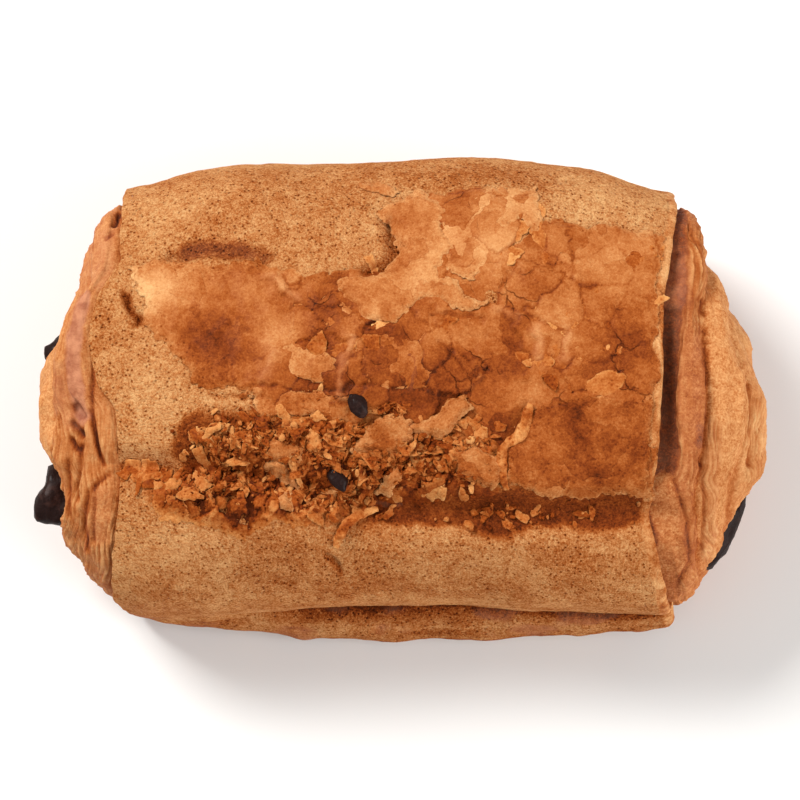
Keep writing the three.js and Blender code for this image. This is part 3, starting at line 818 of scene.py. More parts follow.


# %% Layers of the two ends
# row of the profile, bake, glaze, rose, how strongly the dough is layered
# the first rows lie in the crevice under the wrap's lip, darkened there as painted shade
LEFT_LAYERS = [
    (0, 0.85, 0, 0, 0), (2.2, 0.75, 0, 0, 0), (2.8, 0.5, 0.2, 0, 0.5), (5.4, 0.42, 0.3, 0.1, 0.5),
    (6.2, 0.66, 0.2, 0.1, 0.6), (7, 0.46, 0.4, 0.2, 0.6), (9.2, 0.44, 0.3, 0.2, 0.7), (9.8, 0.6, 0, 0, 0.6),
    (10.6, 0.42, 0, 0, 0.4), (12, 0.38, 0, 0, 0.3), (15, 0.36, 0, 0, 0.6),
]
RIGHT_LAYERS = [
    (0, 0.9, 0, 0.2, 0), (2.4, 0.88, 0, 0.2, 0), (3.2, 0.8, 0.1, 0.2, 0.3), (3.8, 0.5, 0.2, 0.15, 1),
    (4.6, 0.58, 0.1, 0.15, 0.3), (5.3, 0.56, 0.1, 0.1, 0.9), (6.2, 0.6, 0, 0.1, 0.7), (7, 0.68, 0, 0, 0.3),
    (7.8, 0.46, 0, 0, 0.2), (9.5, 0.4, 0, 0, 0.15), (10.6, 0.42, 0, 0, 0.6), (11.2, 0.54, 0, 0, 0.6),
    (12.2, 0.36, 0.1, 0, 0.5), (15, 0.34, 0, 0, 0.5),
]
# path in plan, half width, softness of its border, bake, glaze, rose, layering
LEFT_PATCHES = [
    ([(-47, -11), (-49, -16), (-50, -23), (-47, -29)], 4.2, 1.6, 0.44, 0.2, 0, 1.1),
    ([(-52.5, -12), (-53.5, -18), (-52.5, -24), (-50, -29)], 2.6, 1.2, 0.48, 0.2, 0, 1.0),
    ([(-46.6, 21), (-47.2, 13)], 1.5, 1.6, 0.42, 0.4, 0.25, 0.2),
    ([(-49.6, 11), (-50.6, 6), (-51, 0), (-50.6, -4), (-49.8, -8)], 1.2, 0.6, 0.5, 0.7, 0.8, 0.25),
    ([(-52.8, 11), (-53.4, 2)], 0.9, 0.6, 0.42, 0.3, 0, 0.6),
    ([(-53.6, -1.8), (-54, -5.6)], 1.0, 1.6, 0.58, 0.3, 0.3, 0.7),
    ([(-57, 2), (-57.2, -13)], 2.1, 0.6, 0.34, 0, 0, 0.1),
    ([(-46.4, -20), (-47, -25)], 1.5, 0.8, 0.46, 0.3, 0.1, 0.3),
    ([(-50.8, -29.4), (-50.4, -30.4)], 0.7, 0.5, 0.85, 0.4, 0.2, 0.3),
]
RIGHT_PATCHES = [
    ([(42.2, 18), (41.8, 10.4)], 1.6, 0.9, 0.74, 0.4, 0.35, 0.1),
    ([(45.4, 22), (46, 12), (45.6, 8)], 1.3, 1.0, 0.55, 0.2, 0, 1.1),
    ([(45, 4), (45, -5), (44.6, -12)], 0.9, 0.8, 0.58, 0, 0.2, 0.2),
    ([(45.3, -9.6), (45.1, -12)], 0.6, 0.5, 0.78, 0, 0.3, 0.1),
    ([(49.4, 8), (50.4, 0), (49.6, -12)], 3, 1.2, 0.37, 0, 0, 0.1),
    ([(39.8, -18.4), (40.6, -24), (42, -31)], 2.4, 1.2, 0.5, 0, 0.1, 0.1),
    ([(47.6, -9), (47, -17), (47.5, -27)], 1.2, 1.0, 0.42, 0.5, 0, 1.0),
    ([(54.4, -5), (54.6, -16)], 1.6, 1.0, 0.4, 0.1, 0, 1.1),
]
# openings between the leaves, darkened with painted shade: path in plan, depth, half width
LEFT_SLITS = [
    ([(-50.9, -5.9), (-49.6, -7.7)], 0.9, 0.5), ([(-51.3, -8.4), (-49.9, -10.3)], 0.9, 0.5),
    ([(-51.4, -10.8), (-50.6, -12.4)], 0.7, 0.4), ([(-48.4, -7), (-47.4, -12), (-46.2, -15)], 0.6, 0.35),
    ([(-44.9, 25.6), (-45.4, 23.4)], 0.9, 0.45), ([(-45.6, 21.6), (-46.6, 20.8)], 0.6, 0.35),
    ([(-47.6, 2), (-48.2, -6), (-47, -14)], 0.5, 0.3), ([(-49.9, -12), (-50.3, -20)], 0.5, 0.3),
    ([(-47.6, -18), (-48, -26)], 0.4, 0.3), ([(-52, -14), (-52, -22)], 0.4, 0.3),
    ([(-45.4, -16.3), (-48.6, -19), (-49.4, -22.5), (-49.1, -27)], 0.5, 0.4),
]
RIGHT_SLITS = [
    ([(45.9, 10.5), (46.1, 8.6)], 0.5, 0.5), ([(46.6, 4), (46.8, -4), (46, -12)], 0.3, 0.35),
    ([(41.3, -17.5), (43.5, -23), (44.3, -29), (42.5, -32)], 0.4, 0.35),
    ([(45.4, -14), (46.3, -20), (46.4, -27)], 0.3, 0.3), ([(53.4, -2), (53.6, -14)], 0.35, 0.35),
]
LEAF_STEP = 0.9


def layer_values(layers, row):
    """The layers' values read along the profile."""
    rows = np.array(layers, float)
    return [soft_table(rows[:, [0, column]], row, 0.15)[None, :] for column in range(1, rows.shape[1])]


def make_end_rings(cap, layers, patches, slits, out, theta, seed):
    """Rings with leaves pushed out along the normals: each leaf rises by t^2 and ends in a sharp step."""
    row, share, points = cap
    far = np.linalg.norm(np.diff(points, axis=1), axis=-1)
    outwards = np.concatenate([np.zeros((len(theta), 1)), np.cumsum(far, 1)], 1)
    around = 26 * np.cos(theta), 26 * np.sin(theta)
    leaf = outwards + 2 * grain(around[0], around[1], outwards * 0.4, 14, seed + 1, 2)
    count = leaf / LEAF_STEP + 1.2 * grain(around[0] * 0.2, around[1] * 0.2, leaf, 1.6, seed + 2, 2)
    within = count - np.floor(count)
    bold = 0.3 + 0.7 * smoothstep(grain(around[0] * 0.5, around[1] * 0.5, np.floor(count), 2.5, seed + 7, 2), -0.5, 0.6)
    step = np.where(within < 0.7, within / 0.7, (1 - within) / 0.3) ** 1.5 * bold
    threads = grain(around[0] * 0.25, around[1] * 0.25, leaf, 0.6, seed + 3, 2)
    opened = np.clip(2.4 * np.sin(theta), 0, 1)
    x, y, z = np.moveaxis(points, -1, 0)
    values = [blend(low, high, opened) for low, high in zip((0.5, 0.1, 0, 0.7), layer_values(layers, row))]
    bake, glaze, rose, layering = painted(patches, x, y, opened, 0.7 * grain(x, y, z, 2.6, seed + 5, 3), values)
    cut = sum(depth * bell(path_distance(path, x, y), half) for path, depth, half in slits) * opened
    fade = smoothstep(row, 1.5, 3.5)[None, :] * smoothstep(share, 0.02, 0.25)
    lumps = 0.35 * grain(x, y, z, 6, seed + 4, 2) + 0.2 * grain(x, y, z, 1.9, seed + 6, 3) * (1 - 0.7 * glaze)
    push = fade * (lumps + layering * (0.34 * step + 0.1 * threads) - cut)
    points = points + grid_normals(points) * out * push[..., None]
    # painted shade: each leaf is darker in the groove at its foot and in the slits; it is paler up at its thin crisp
    # edge
    bake = bake + 0.06 + layering * fade * (0.06 - 0.3 * step - 0.08 * threads) + 0.6 * cut
    from_below = np.mod(theta + np.pi / 2, 2 * np.pi)
    uv = np.stack([np.broadcast_to(from_below * 26, leaf.shape), leaf], -1)
    return points, bake, glaze, rose, np.clip(layering, 0, 1) + 0 * bake, uv


def layer_finish():
    """Dough cut across its layers: dark threads that follow the UV map where it is layered, pores elsewhere."""
    recipe = Recipe("layered_dough", {"Coat Roughness": 0.4, "Specular IOR Level": 0.1})
    bake = recipe.attribute("bake")
    glaze = recipe.attribute("glaze")
    rose = recipe.attribute("rose")
    layering = recipe.attribute("layering")
    uv = recipe.add("ShaderNodeUVMap", {"uv_map": "layers"}, {})
    stretched = recipe.add("ShaderNodeMapping", {}, {"Vector": uv, "Scale": (0.16, 2.2, 1.0)})
    threads = recipe.add("ShaderNodeTexNoise", {}, {"Vector": stretched, "Scale": 1.0, "Detail": 4.0})
    finest = recipe.noise(0.34, detail=3, rough=0.7)
    fine = recipe.noise(0.9, detail=4, rough=0.65)
    middling = recipe.noise(2.4, detail=3)
    porous = (1 - layering) * (1 - glaze)
    level = bake + (threads - 0.5) * layering * 0.42 + (finest - 0.5) * (porous * 0.6 + 0.3)
    level = level + (fine - 0.5) * (porous * 0.4 + 0.25) + (middling - 0.5) * 0.3
    height = threads * layering * 0.8 + finest * 0.3 + fine * 0.5
    return recipe.surface(
        Base_Color=baked_colour(recipe, level, rose),
        Roughness=0.8 - glaze * 0.34 + (middling - 0.5) * 0.25,
        Coat_Weight=glaze * 0.08,
        Normal=recipe.bumped(height, 0.4),
    )


layered_dough = layer_finish()


def make_rolled_layers():
    """The left rings run backwards into the right rings, and a pole closes each tip."""
    theta = ring_angles(END_STEP, COARSE_STEP)[:, None]
    left = end_cap(LEFT_EDGE, LEFT_STRAY, -1, LEFT_TOP, LEFT_LOW, LEFT_HOLD, LEFT_GAP, LEFT_MOUTHS, theta, 48)
    right = end_cap(RIGHT_EDGE, RIGHT_STRAY, 1, RIGHT_TOP, RIGHT_LOW, RIGHT_HOLD, RIGHT_GAP, RIGHT_MOUTHS, theta, 58)
    left = make_end_rings(left, LEFT_LAYERS, LEFT_PATCHES, LEFT_SLITS, -1, theta, 50)
    right = make_end_rings(right, RIGHT_LAYERS, RIGHT_PATCHES, RIGHT_SLITS, 1, theta, 60)
    points, *values, uv = [np.concatenate([a[:, -2::-1], b[:, :-1]], 1) for a, b in zip(left, right)]
    rows, columns = points.shape[:2]
    tips = np.array([left[0][:, -1].mean(0), right[0][:, -1].mean(0)])
    points[..., 2] = np.maximum(points[..., 2], 0.3)
    first = np.arange(rows) * columns
    last = first + columns - 1
    poles = np.concatenate([pole_faces(first[::-1], rows * columns), pole_faces(last, rows * columns + 1)])
    points = np.concatenate([points.reshape(-1, 3), tips])
    groups = outward(points, [grid_faces(rows, columns, round_rows=True), poles])
    values = [np.concatenate([v.ravel(), [v[0, 0], v[0, -1]]]) for v in values]
    uv = np.concatenate([uv.reshape(-1, 2), uv[0, [0, -1]]])
    return add_piece("rolled_layers", points, groups, layered_dough, "pastry", "crust", uv=uv,
                     bake=values[0], glaze=values[1], rose=values[2], layering=values[3])


rolled_layers = make_rolled_layers()

# %% [markdown]
# ## Torn sheets
#
# The glazed skin and its flakes are thin sheets with torn borders. A regular grid is laid over the
# outline, a signed distance says how far each place is inside, noise makes the border ragged, and the
# grid's border places are slid onto it. The top follows the crust, lifts and curls at the border.

# %% A torn sheet over the crust
def inside_distance(outline, x, y):
    """The distance to the outline, positive inside it: inside is where a ray crosses it an odd number of times."""
    ring = list(outline) + [outline[0]]
    distance = path_distance(ring, x, y)
    crossings = np.zeros(x.shape, bool)
    for (ax, ay), (bx, by) in zip(ring[:-1], ring[1:]):
        if ay != by:
            crossings ^= ((ay > y) != (by > y)) & (x < (bx - ax) * (y - ay) / (by - ay) + ax)
    return np.where(crossings, distance, -distance)


def kept_cells(depth):
    """Cells whose middle is inside the border, with cells added where two meet only at a corner."""
    middle = (depth[:-1, :-1] + depth[1:, :-1] + depth[:-1, 1:] + depth[1:, 1:]) / 4
    kept = middle > 0
    for _ in range(3):
        a, b, c, d = kept[:-1, :-1], kept[1:, :-1], kept[:-1, 1:], kept[1:, 1:]
        one_way, other_way = a & d & ~b & ~c, b & c & ~a & ~d
        kept[1:, :-1] |= one_way
        kept[:-1, :-1] |= other_way
    return kept


def torn_sheet(outline, cell, lift, seed, raggedness=0.6, teeth=0.3, thickness=0.4, curl=0.3, wrinkle=0.08):
    """Top places over the crust, bottom places under them, and walls round every border."""
    low, high = np.min(outline, 0) - 1.5, np.max(outline, 0) + 1.5
    x, y = np.meshgrid(np.arange(low[0], high[0], cell), np.arange(low[1], high[1], cell), indexing="ij")
    depth = inside_distance(outline, x, y)
    depth = depth + raggedness * grain(x, y, 0, 3.6, seed, 2) - teeth * ridges(x, y, 0, 1.3, seed + 3, 2)
    kept = kept_cells(depth)
    touching = np.zeros(x.shape, int)
    for step_x in (0, 1):
        for step_y in (0, 1):
            touching[step_x:step_x + kept.shape[0], step_y:step_y + kept.shape[1]] += kept
    slope_x, slope_y = np.gradient(depth, cell)
    steep = slope_x ** 2 + slope_y ** 2 + 0.2
    border = (touching > 0) & (touching < 4)
    slide = np.where(border, np.clip(-depth / steep, -0.7 * cell, 0.7 * cell), 0)
    used = touching > 0
    x, y = (x + slide * slope_x)[used], (y + slide * slope_y)[used]
    depth = np.where(border, 0, np.maximum(depth, 0))[used]
    number = np.full(used.shape, -1)
    number[used] = np.arange(used.sum())
    i, j = np.nonzero(kept)
    top_faces = np.stack([number[i, j], number[i + 1, j], number[i + 1, j + 1], number[i, j + 1]], -1)
    lifting = smoothstep(grain(x, y, 0, 4.5, seed + 7), -0.1, 0.7)
    raised = lift + curl * lifting * (1 - smoothstep(depth, 0, 1.6)) - 0.6 * lift * (1 - smoothstep(depth, 0, 0.9))
    raised = raised + wrinkle * (ridges(x, y, 0, 3.6, seed + 9, 2) + 0.6 * grain(x, y, 0, 1.2, seed + 11))
    top = np.stack([x, y, crust_height(x, y) + raised], -1)
    wall = 0.14 + (thickness - 0.14) * smoothstep(depth, 0, 1.5)
    bottom = top - np.stack([0 * x, 0 * x, wall], -1)
    count = len(top)
    edges = np.concatenate([np.stack([top_faces[:, k], top_faces[:, (k + 1) % 4]], -1) for k in range(4)])
    keys, back_keys = edges[:, 0] * count + edges[:, 1], edges[:, 1] * count + edges[:, 0]
    open_edges = edges[~np.isin(keys, back_keys)]
    walls = np.stack([open_edges[:, 1], open_edges[:, 0], open_edges[:, 0] + count, open_edges[:, 1] + count], -1)
    faces = np.concatenate([top_faces, top_faces[:, ::-1] + count, walls])
    return np.concatenate([top, bottom]), [faces], np.concatenate([depth, depth])


# %% [markdown]
# ## The glazed skin
#
# One big sheet of egg-washed skin still covers the top, from the left edge to the lip at the right. Its
# torn outline is the same as on the solid. It is paler at its rim, where the wash is rubbed off.

# %% The big sheet of skin
SKIN_OUTLINE = [
    (-43.2, 15.6), (-38.6, 17.6), (-34.7, 16.3), (-28, 15.1), (-25.4, 16.1), (-21.2, 16.1), (-19.2, 13.9),
    (-15.3, 13.1), (-8.4, 14.4), (-2.3, 16), (-0.8, 20.6), (-1.6, 26), (3, 29), (14, 28.8), (20.3, 28.6),
    (20.9, 22.4), (31, 22.1), (36.4, 21.2), (39.7, 20.3), (38.8, 8), (38.5, -2), (38, -12), (37.5, -20.4),
    (30.6, -19.6), (22.9, -20.3), (15.3, -19.4), (13.6, -14.5), (8, -13.3), (0, -11.8), (-8.4, -10.3),
    (-12.2, -8.8), (-18.3, -8.8), (-22.9, -6.5), (-25.2, -5), (-32, -3.4), (-34.4, 0.5), (-39.1, 5.3),
    (-41.5, 11.8),
]
SKIN_CELL = 0.3
SKIN_PLATE = 6.5


def skin_relief(x, y):
    """Plates that stand higher or lower than their neighbours where the skin has buckled, and soft ridges."""
    warp = 1.1 * grain(x, y, 0, 3, 73, 4), 1.1 * grain(x, y, 0, 3, 74, 4)
    number, slope, _, rim = plates(x + warp[0], y + warp[1], SKIN_PLATE, 75)
    buckled = smoothstep(x, -30, -18) * (1 - 0.5 * smoothstep(x, 24, 34))
    height = buckled * (0.26 * number + 0.16 * slope)
    crack = buckled * np.exp(-(rim / 0.2) ** 2) * smoothstep(number, -0.2, 0.5)
    x, y = wandered(x, y)
    buckle = sum(tall * bell(path_distance(path, x, y), half) for path, tall, half in BUCKLES)
    return height, crack, buckle


def skin_browning(x, y, depth, height, crack, buckle):
    """bake, glaze and rose of the skin: soft spots, painted shade in the dents, in the cracks and on the lower plates,
    pale ridges and a paler rim.
    """
    mottled = grain(x, y, 0, 5, 71, 3)
    bake = 0.7 + soft_spots(SKIN_SPOTS, x, y) + 0.8 * dent_shade(x, y) + 0.1 * mottled
    rim = np.exp(-depth / blend(2.4, 0.5, smoothstep(x, -36, -22)))
    # painted shade: lower plates and the cracks between them are darker
    bake = bake - 0.15 * rim - 0.2 * height + 0.22 * crack - 0.4 * buckle
    return bake, np.clip(0.85 - 0.6 * rim, 0, 1), np.clip(0.4 * buckle, 0, 1)


def make_skin():
    """The big torn sheet, a little lifted off the dough, with its plates, ridges and cracks."""
    points, groups, depth = torn_sheet(SKIN_OUTLINE, SKIN_CELL, 0.16, 90, 1.25, 0.6, 0.6, 0.25, 0.14)
    height, crack, buckle = skin_relief(points[:, 0], points[:, 1])
    top = np.arange(len(points)) < len(points) // 2
    points[:, 2] += top * (0.25 + height + buckle - 0.3 * crack) * smoothstep(depth, 0, 1.2)
    bake, glaze, rose = skin_browning(points[:, 0], points[:, 1], depth, height, crack, buckle)
    cracking = smoothstep(points[:, 0], -26, -14)
    return add_piece("skin", points, groups, glazed_skin, "pastry", "crust",
                     bake=bake, glaze=glaze, rose=rose, cracking=cracking)


skin = make_skin()

# %% [markdown]
# ## The flaky bed
#
# In front of the skin's torn border the dough is covered by broken layers that baked fast to it. Two
# sizes of tilted plates, bent by noise, stand over one another; they are golden on top, with painted
# shade where they lie low and in the gaps. Loose flakes, shards and crumbs are set on this bed afterwards.

# %% The bed of broken layers
BED_OUTLINE = [
    (-29.3, -13.6), (-27.4, -11.8), (-23.7, -10.2), (-22.8, -7.6), (-19.5, -8), (-12.1, -9), (-4.2, -8.6), (-3.9, -6.4),
    (1, -6.4), (1.5, -10), (6.2, -10), (13.5, -11), (14.6, -16.5), (14.3, -19.6), (5.6, -20.9), (-0.5, -20.6),
    (-10.4, -22.6), (-15.3, -24.4), (-20.8, -23.8), (-24.6, -26.6), (-28.5, -25.4), (-33.7, -24.2), (-38.6, -22.9),
    (-39.4, -19.6), (-36.4, -16.4), (-31.5, -14.4),
]
BED_CELL = 0.18


def bed_relief(x, y):
    """2-3 mm plates and 1 mm plates: number + tilt of each, with gaps along their borders."""
    bent_x = x + 1.1 * grain(x, y, 0, 2.2, 81, 4)
    bent_y = y + 1.1 * grain(x, y, 0, 2.2, 82, 4)
    across, along = 0.8 * bent_x - 0.6 * bent_y, 0.6 * bent_x + 0.8 * bent_y
    large, large_tilt, tone, large_rim = plates(1.25 * across, 0.8 * along, 2.5, 83)
    small, small_tilt, small_tone, small_rim = plates(1.3 * bent_x, 0.85 * bent_y, 1.0, 84)
    height = 0.36 * large + 0.5 * large_tilt + 0.16 * small + 0.2 * small_tilt + 0.1 * grain(x, y, 0, 0.6, 85)
    gap = np.exp(-large_rim / 0.14) + 0.45 * np.exp(-small_rim / 0.1)
    return height - 0.15 * gap, 0.5 * tone + 0.4 * small_tone, gap


def bed_height(x, y):
    """How far the bed stands over the dough at each place."""
    inside = smoothstep(inside_distance(BED_OUTLINE, x, y), 0, 2.4)
    return 0.15 + inside * (0.55 + bed_relief(x, y)[0])


def make_bed():
    """A torn sheet with the bed's relief, darker with painted shade where it is low and in its gaps."""
    points, groups, depth = torn_sheet(BED_OUTLINE, BED_CELL, 0.1, 160, 0.9, 0.5, 0.5, 0.0, 0.1)
    x, y = points[:, 0], points[:, 1]
    height, tone, gap = bed_relief(x, y)
    top = np.arange(len(points)) < len(points) // 2
    inside = smoothstep(depth, 0, 2.4)
    points[:, 2] += top * inside * (0.55 + height)
    ground_bake, ground_glaze, _ = dough_browning(*points.T)
    # painted shade: the bed is darker where it lies low and along the gaps between its plates
    bake = blend(ground_bake, 0.78 - 0.4 * height + 0.12 * tone + 0.12 * gap, inside)
    glaze = blend(ground_glaze, 0.5, inside)
    return add_piece("flaky_bed", points, groups, golden_flake, "pastry", "crust", bake=bake, glaze=glaze, rose=0.0)


flaky_bed = make_bed()

# %% [markdown]
# ## Flakes
#
# Where the skin broke, its pieces lie over one another like dry leaves. Each flake is the same kind of
# torn sheet with its own outline, lift and bake, and the finest grid, because its edge is what shows.

# %% Large flakes
# lift above the dough, bake, curl of the border, outline in plan
FLAKES = [
    (0.9, 0.52, 0.3, [
        (-4.1, 25.1), (-2.3, 26), (0.9, 27.5), (1.3, 29.1), (3.2, 28.8), (4.3, 27.1), (5.5, 26.5), (6.8, 24.7),
        (5.8, 22.5), (6.7, 19.9), (8.1, 18), (6.5, 16.5), (6.2, 15.5), (5, 14), (6.2, 13.1), (8.5, 12.2),
        (9.3, 10.6), (10.5, 9.5), (12.8, 9.2), (11.1, 7.6), (8.8, 7.1), (7.4, 8.2), (5, 9.2), (2.1, 9),
        (0.5, 7.4), (-1.2, 6), (-2.7, 5.5), (-5.6, 6.1), (-7.3, 6.8), (-7.9, 8.2), (-9.4, 9.2), (-11, 12.4),
        (-8.8, 13.6), (-5, 13.9), (-3.3, 14.4), (-1, 17.7), (-1.8, 19.9), (-2.2, 21.7), (-3.8, 23.3),
    ]),
    (0.5, 0.44, 0.3, [
        (5.5, 26.5), (7.9, 26), (9, 26.9), (13.3, 28.4), (14.9, 28.6), (14.5, 26.1), (14, 24.7), (12.5, 24.3),
        (13.2, 22.9), (13.5, 21.1), (13.5, 18), (12.7, 14.9), (10.5, 12.7), (9, 12.7), (6.4, 13.9), (5.1, 14.7),
        (5.2, 21.1),
    ]),
    (0.6, 0.46, 0.3, [
        (14.9, 27.9), (17.3, 28.9), (20.5, 28.6), (21.1, 25.7), (21.4, 20.2), (19.7, 20.1), (17.9, 22.6),
        (15.5, 20.8), (13.5, 21.8), (14.4, 24.3),
    ]),
    (0.6, 0.5, 0.3, [(-10.2, 9), (-7.9, 8.9), (-7.3, 6.6), (-7.6, 6), (-8.8, 5.8), (-10.7, 7.4)]),
    (0.7, 0.5, 0.4, [(-7.1, 29.9), (-2.6, 30.1), (-1.2, 29.5), (-1, 27.3), (-2.3, 27.1), (-4.1, 27.9), (-6.5, 28.5)]),
    (0.3, 0.6, 0.1, [(8.8, 7.1), (11.2, 7.6), (11.5, 4.7), (10, 4.4), (9.2, 5.5)]),
    (0.5, 0.5, 0.3, [(-19.9, 2.7), (-17.5, -2.7), (-12.2, -4), (-9.1, -3.5), (-10.7, 0.3), (-15.3, 2.7)]),
    (0.5, 0.58, 0.2, [(-8.4, 3.5), (0, 4.2), (4.6, 1.9), (6.1, -3.5), (0, -5), (-6.1, -4.3)]),
    (0.45, 0.56, 0.3, [
        (-23.6, -3.8), (-21.8, -3.6), (-16, -4.6), (-9.1, -4.9), (-9.1, -9.9), (-12.6, -8.8), (-17.5, -8.4),
        (-22.8, -8.8),
    ]),
    (0.7, 0.76, 0.3, [
        (22.1, -6.5), (18.3, -8.1), (16, -11.8), (15.3, -17.7), (18.3, -19.4), (26, -20.3), (33.6, -19.6),
        (37, -20.1), (37.6, -13.1), (38.3, -5.9), (29.8, -5.3),
    ]),
    (1.8, 0.54, 0.5, [
        (4.6, -8.8), (6.1, -6.1), (9.1, -5.5), (10.7, -7.3), (8.4, -9.6), (6.1, -11.8), (2.3, -11.8),
        (-2.3, -10), (1.5, -9.6),
    ]),
    (1.6, 0.64, 0.4, [
        (6.9, -14), (10.7, -13.3), (14.5, -14.5), (15.3, -17.7), (13.7, -19.5), (9.9, -18.4), (7.6, -17),
    ]),
    (1.9, 0.58, 0.4, [
        (-8.6, -13.7), (-4.8, -9.1), (-3.1, -8.4), (0.8, -9.1), (1.6, -12.1), (-1.5, -15.3), (-4.1, -14.3),
        (-6, -14.7),
    ]),
    (2, 0.56, 0.5, [
        (-22.1, -16.1), (-20.6, -14.8), (-18.3, -15), (-16, -18), (-15.2, -19.4), (-17.5, -19), (-19.8, -17.7),
    ]),
    (1.9, 0.5, 0.5, [(-4.8, -19.4), (-3, -17.6), (-1.5, -15.3), (-0.1, -15.9), (-0.4, -17.9), (-2.2, -20.5)]),
    (1.8, 0.5, 0.4, [(-13.5, -19), (-11.4, -18.7), (-9.4, -19.4), (-10.7, -20.5), (-12.6, -20)]),
    (1.8, 0.48, 0.5, [
        (-19.2, -20.4), (-18.6, -19), (-17.5, -19.7), (-16.6, -22.3), (-17.9, -23.1), (-19.5, -22.6),
    ]),
    (1.2, 0.5, 0.4, [(-36.4, -19.6), (-34.4, -19.2), (-31.6, -19.8), (-31.9, -20.7), (-34.4, -20.8)]),
    (1.7, 0.58, 0.4, [(-22.1, -12.5), (-19, -11.8), (-15.2, -13.3), (-15.5, -15.5), (-19.8, -15.9)]),
]
FLAKE_CELL = 0.27


def joined(parts):
    """Several sets of places and face groups as one, with their numbers per place."""
    starts = np.cumsum([0] + [len(part[0]) for part in parts])
    groups = [np.concatenate([part[1][k] + start for part, start in zip(parts, starts)])
              for k in range(len(parts[0][1]))]
    values = [np.concatenate(column) for column in zip(*(part[2:] for part in parts))]
    return np.concatenate([part[0] for part in parts]), groups, values


def make_flakes():
    """Every large flake as a torn sheet, paler at its border."""
    parts = []
    for index, (lift, bake, curl, outline) in enumerate(FLAKES):
        seed = 120 + 13 * index
        points, groups, depth = torn_sheet(outline, FLAKE_CELL, lift, seed, 0.22, 0.42, 0.36, curl, 0.1)
        mottled = grain(points[:, 0], points[:, 1], 0, 3.4, 140 + index, 4)
        browned = bake - 0.12 * np.exp(-depth / 0.4) + 0.12 * mottled
        parts.append((points, groups, browned, np.clip(0.75 - 0.6 * np.exp(-depth / 0.5), 0, 1)))
    points, groups, (bake, glaze) = joined(parts)
    return add_piece("flakes", points, groups, glazed_skin, "pastry", "crust",
                     bake=bake, glaze=glaze, rose=0.0, cracking=0.35)


flakes = make_flakes()

# %% [markdown]
# ## Small flakes
#
# Between the large flakes lie many small ones. Each has a round outline whose corners are pushed in and
# out at random, stretched along a random direction, and each zone has its own number, size and bake.

# %% Small flakes in zones
# x, y, half length, half depth, how many, radius, bake, lift
FLAKE_ZONES = [
    (1, 20, 8, 7, 6, 2.2, 0.5, 0.3), (16, 20, 7, 7, 10, 2.6, 0.52, 0.3), (-12, 10, 7, 3, 6, 2.4, 0.54, 0.25),
    (-16, 1, 7, 5, 8, 2.6, 0.6, 0.4), (2, 3, 8, 5, 9, 3, 0.62, 0.4), (22, 2, 9, 7, 16, 3, 0.6, 0.4),
    (-22, -10.5, 9, 2.5, 22, 1.7, 0.6, 1), (-6, -12.5, 8, 3, 24, 1.7, 0.58, 1.2),
    (8, -11, 7, 4, 22, 1.9, 0.6, 1.1), (-28, -19.5, 9, 2.6, 34, 1.6, 0.64, 0.8),
    (-13, -21, 9, 2.6, 30, 1.6, 0.64, 0.8), (5, -17, 7, 3, 20, 1.7, 0.6, 1.1),
    (30, 12, 9, 8, 10, 3, 0.58, 0.4), (22, -23, 12, 1.2, 7, 1.2, 0.66, 0.3), (-30, -13, 4, 3, 10, 1.5, 0.62, 0.8),
    (-39, -17, 4.5, 1.6, 18, 1.8, 0.7, 0.6),
]
SMALL_FLAKE_CELL = 0.26


def random_outline(draw, radius):
    """Seven corners round a middle, each at its own distance, stretched along a random direction."""
    angle = np.linspace(0, 2 * np.pi, 7, endpoint=False) + draw.uniform(-0.35, 0.35, 7)
    far = radius * draw.uniform(0.45, 1.35, 7)
    stretch = draw.uniform(0.4, 0.9)
    turn = draw.uniform(0, np.pi)
    along, across = far * np.cos(angle), stretch * far * np.sin(angle)
    return np.stack([along * np.cos(turn) - across * np.sin(turn), along * np.sin(turn) + across * np.cos(turn)], -1)


def make_small_flakes():
    """Torn sheets on random outlines, set down at random in their zones."""
    draw = np.random.default_rng(77)
    parts = []
    for x, y, wide, deep, count, radius, bake, lift in FLAKE_ZONES:
        for _ in range(count):
            middle = np.array([x + wide * draw.uniform(-1, 1), y + deep * draw.uniform(-1, 1)])
            outline = middle + random_outline(draw, radius * draw.uniform(0.6, 1.25))
            raised = lift * draw.uniform(0.5, 1.3)
            outline = [tuple(corner) for corner in outline]
            seed, curl = int(draw.integers(1000)), draw.uniform(0.1, 0.6)
            points, groups, depth = torn_sheet(outline, SMALL_FLAKE_CELL, raised, seed, 0.15, 0.2, 0.3, curl, 0.07)
            browned = bake + draw.normal(0, 0.1) - 0.14 * np.exp(-depth / 0.3)
            parts.append((points, groups, browned, np.clip(0.6 - 0.5 * np.exp(-depth / 0.4), 0, 1)))
    points, groups, (bake, glaze) = joined(parts)
    return add_piece("small_flakes", points, groups, golden_flake, "pastry", "crust", bake=bake, glaze=glaze, rose=0.0)


small_flakes = make_small_flakes()

# %% [markdown]
# ## Curled rims
#
# Where a sheet tore free its rim rolled up on itself. A curled rim is an open tube: an arc of a circle
# with a thin wall, carried along a path over the crust, tight at its ends and widest in the middle.

# %% Curled rims
# widest radius, bake, height over the dough, path in plan
CURLED_RIMS = [
    (1.0, 0.57, 0.7, [(19.2, -6.6), (18.4, -9.3), (17.9, -11.3), (16.4, -12.4), (15, -13.1), (14.6, -15),
                      (14.7, -17.2), (15.7, -19.5)]),
    (0.95, 0.54, 0.4, [(-10.6, -27.6), (-10.2, -26), (-9.1, -24.2), (-7.1, -22.6), (-4.1, -21.7)]),
    (0.6, 0.56, 1.6, [(-17.9, -14.7), (-16.8, -16.6), (-15.6, -19.2)]),
    (0.6, 0.54, 1.7, [(1.8, -12.4), (0.6, -14), (-0.8, -15.4)]),
]


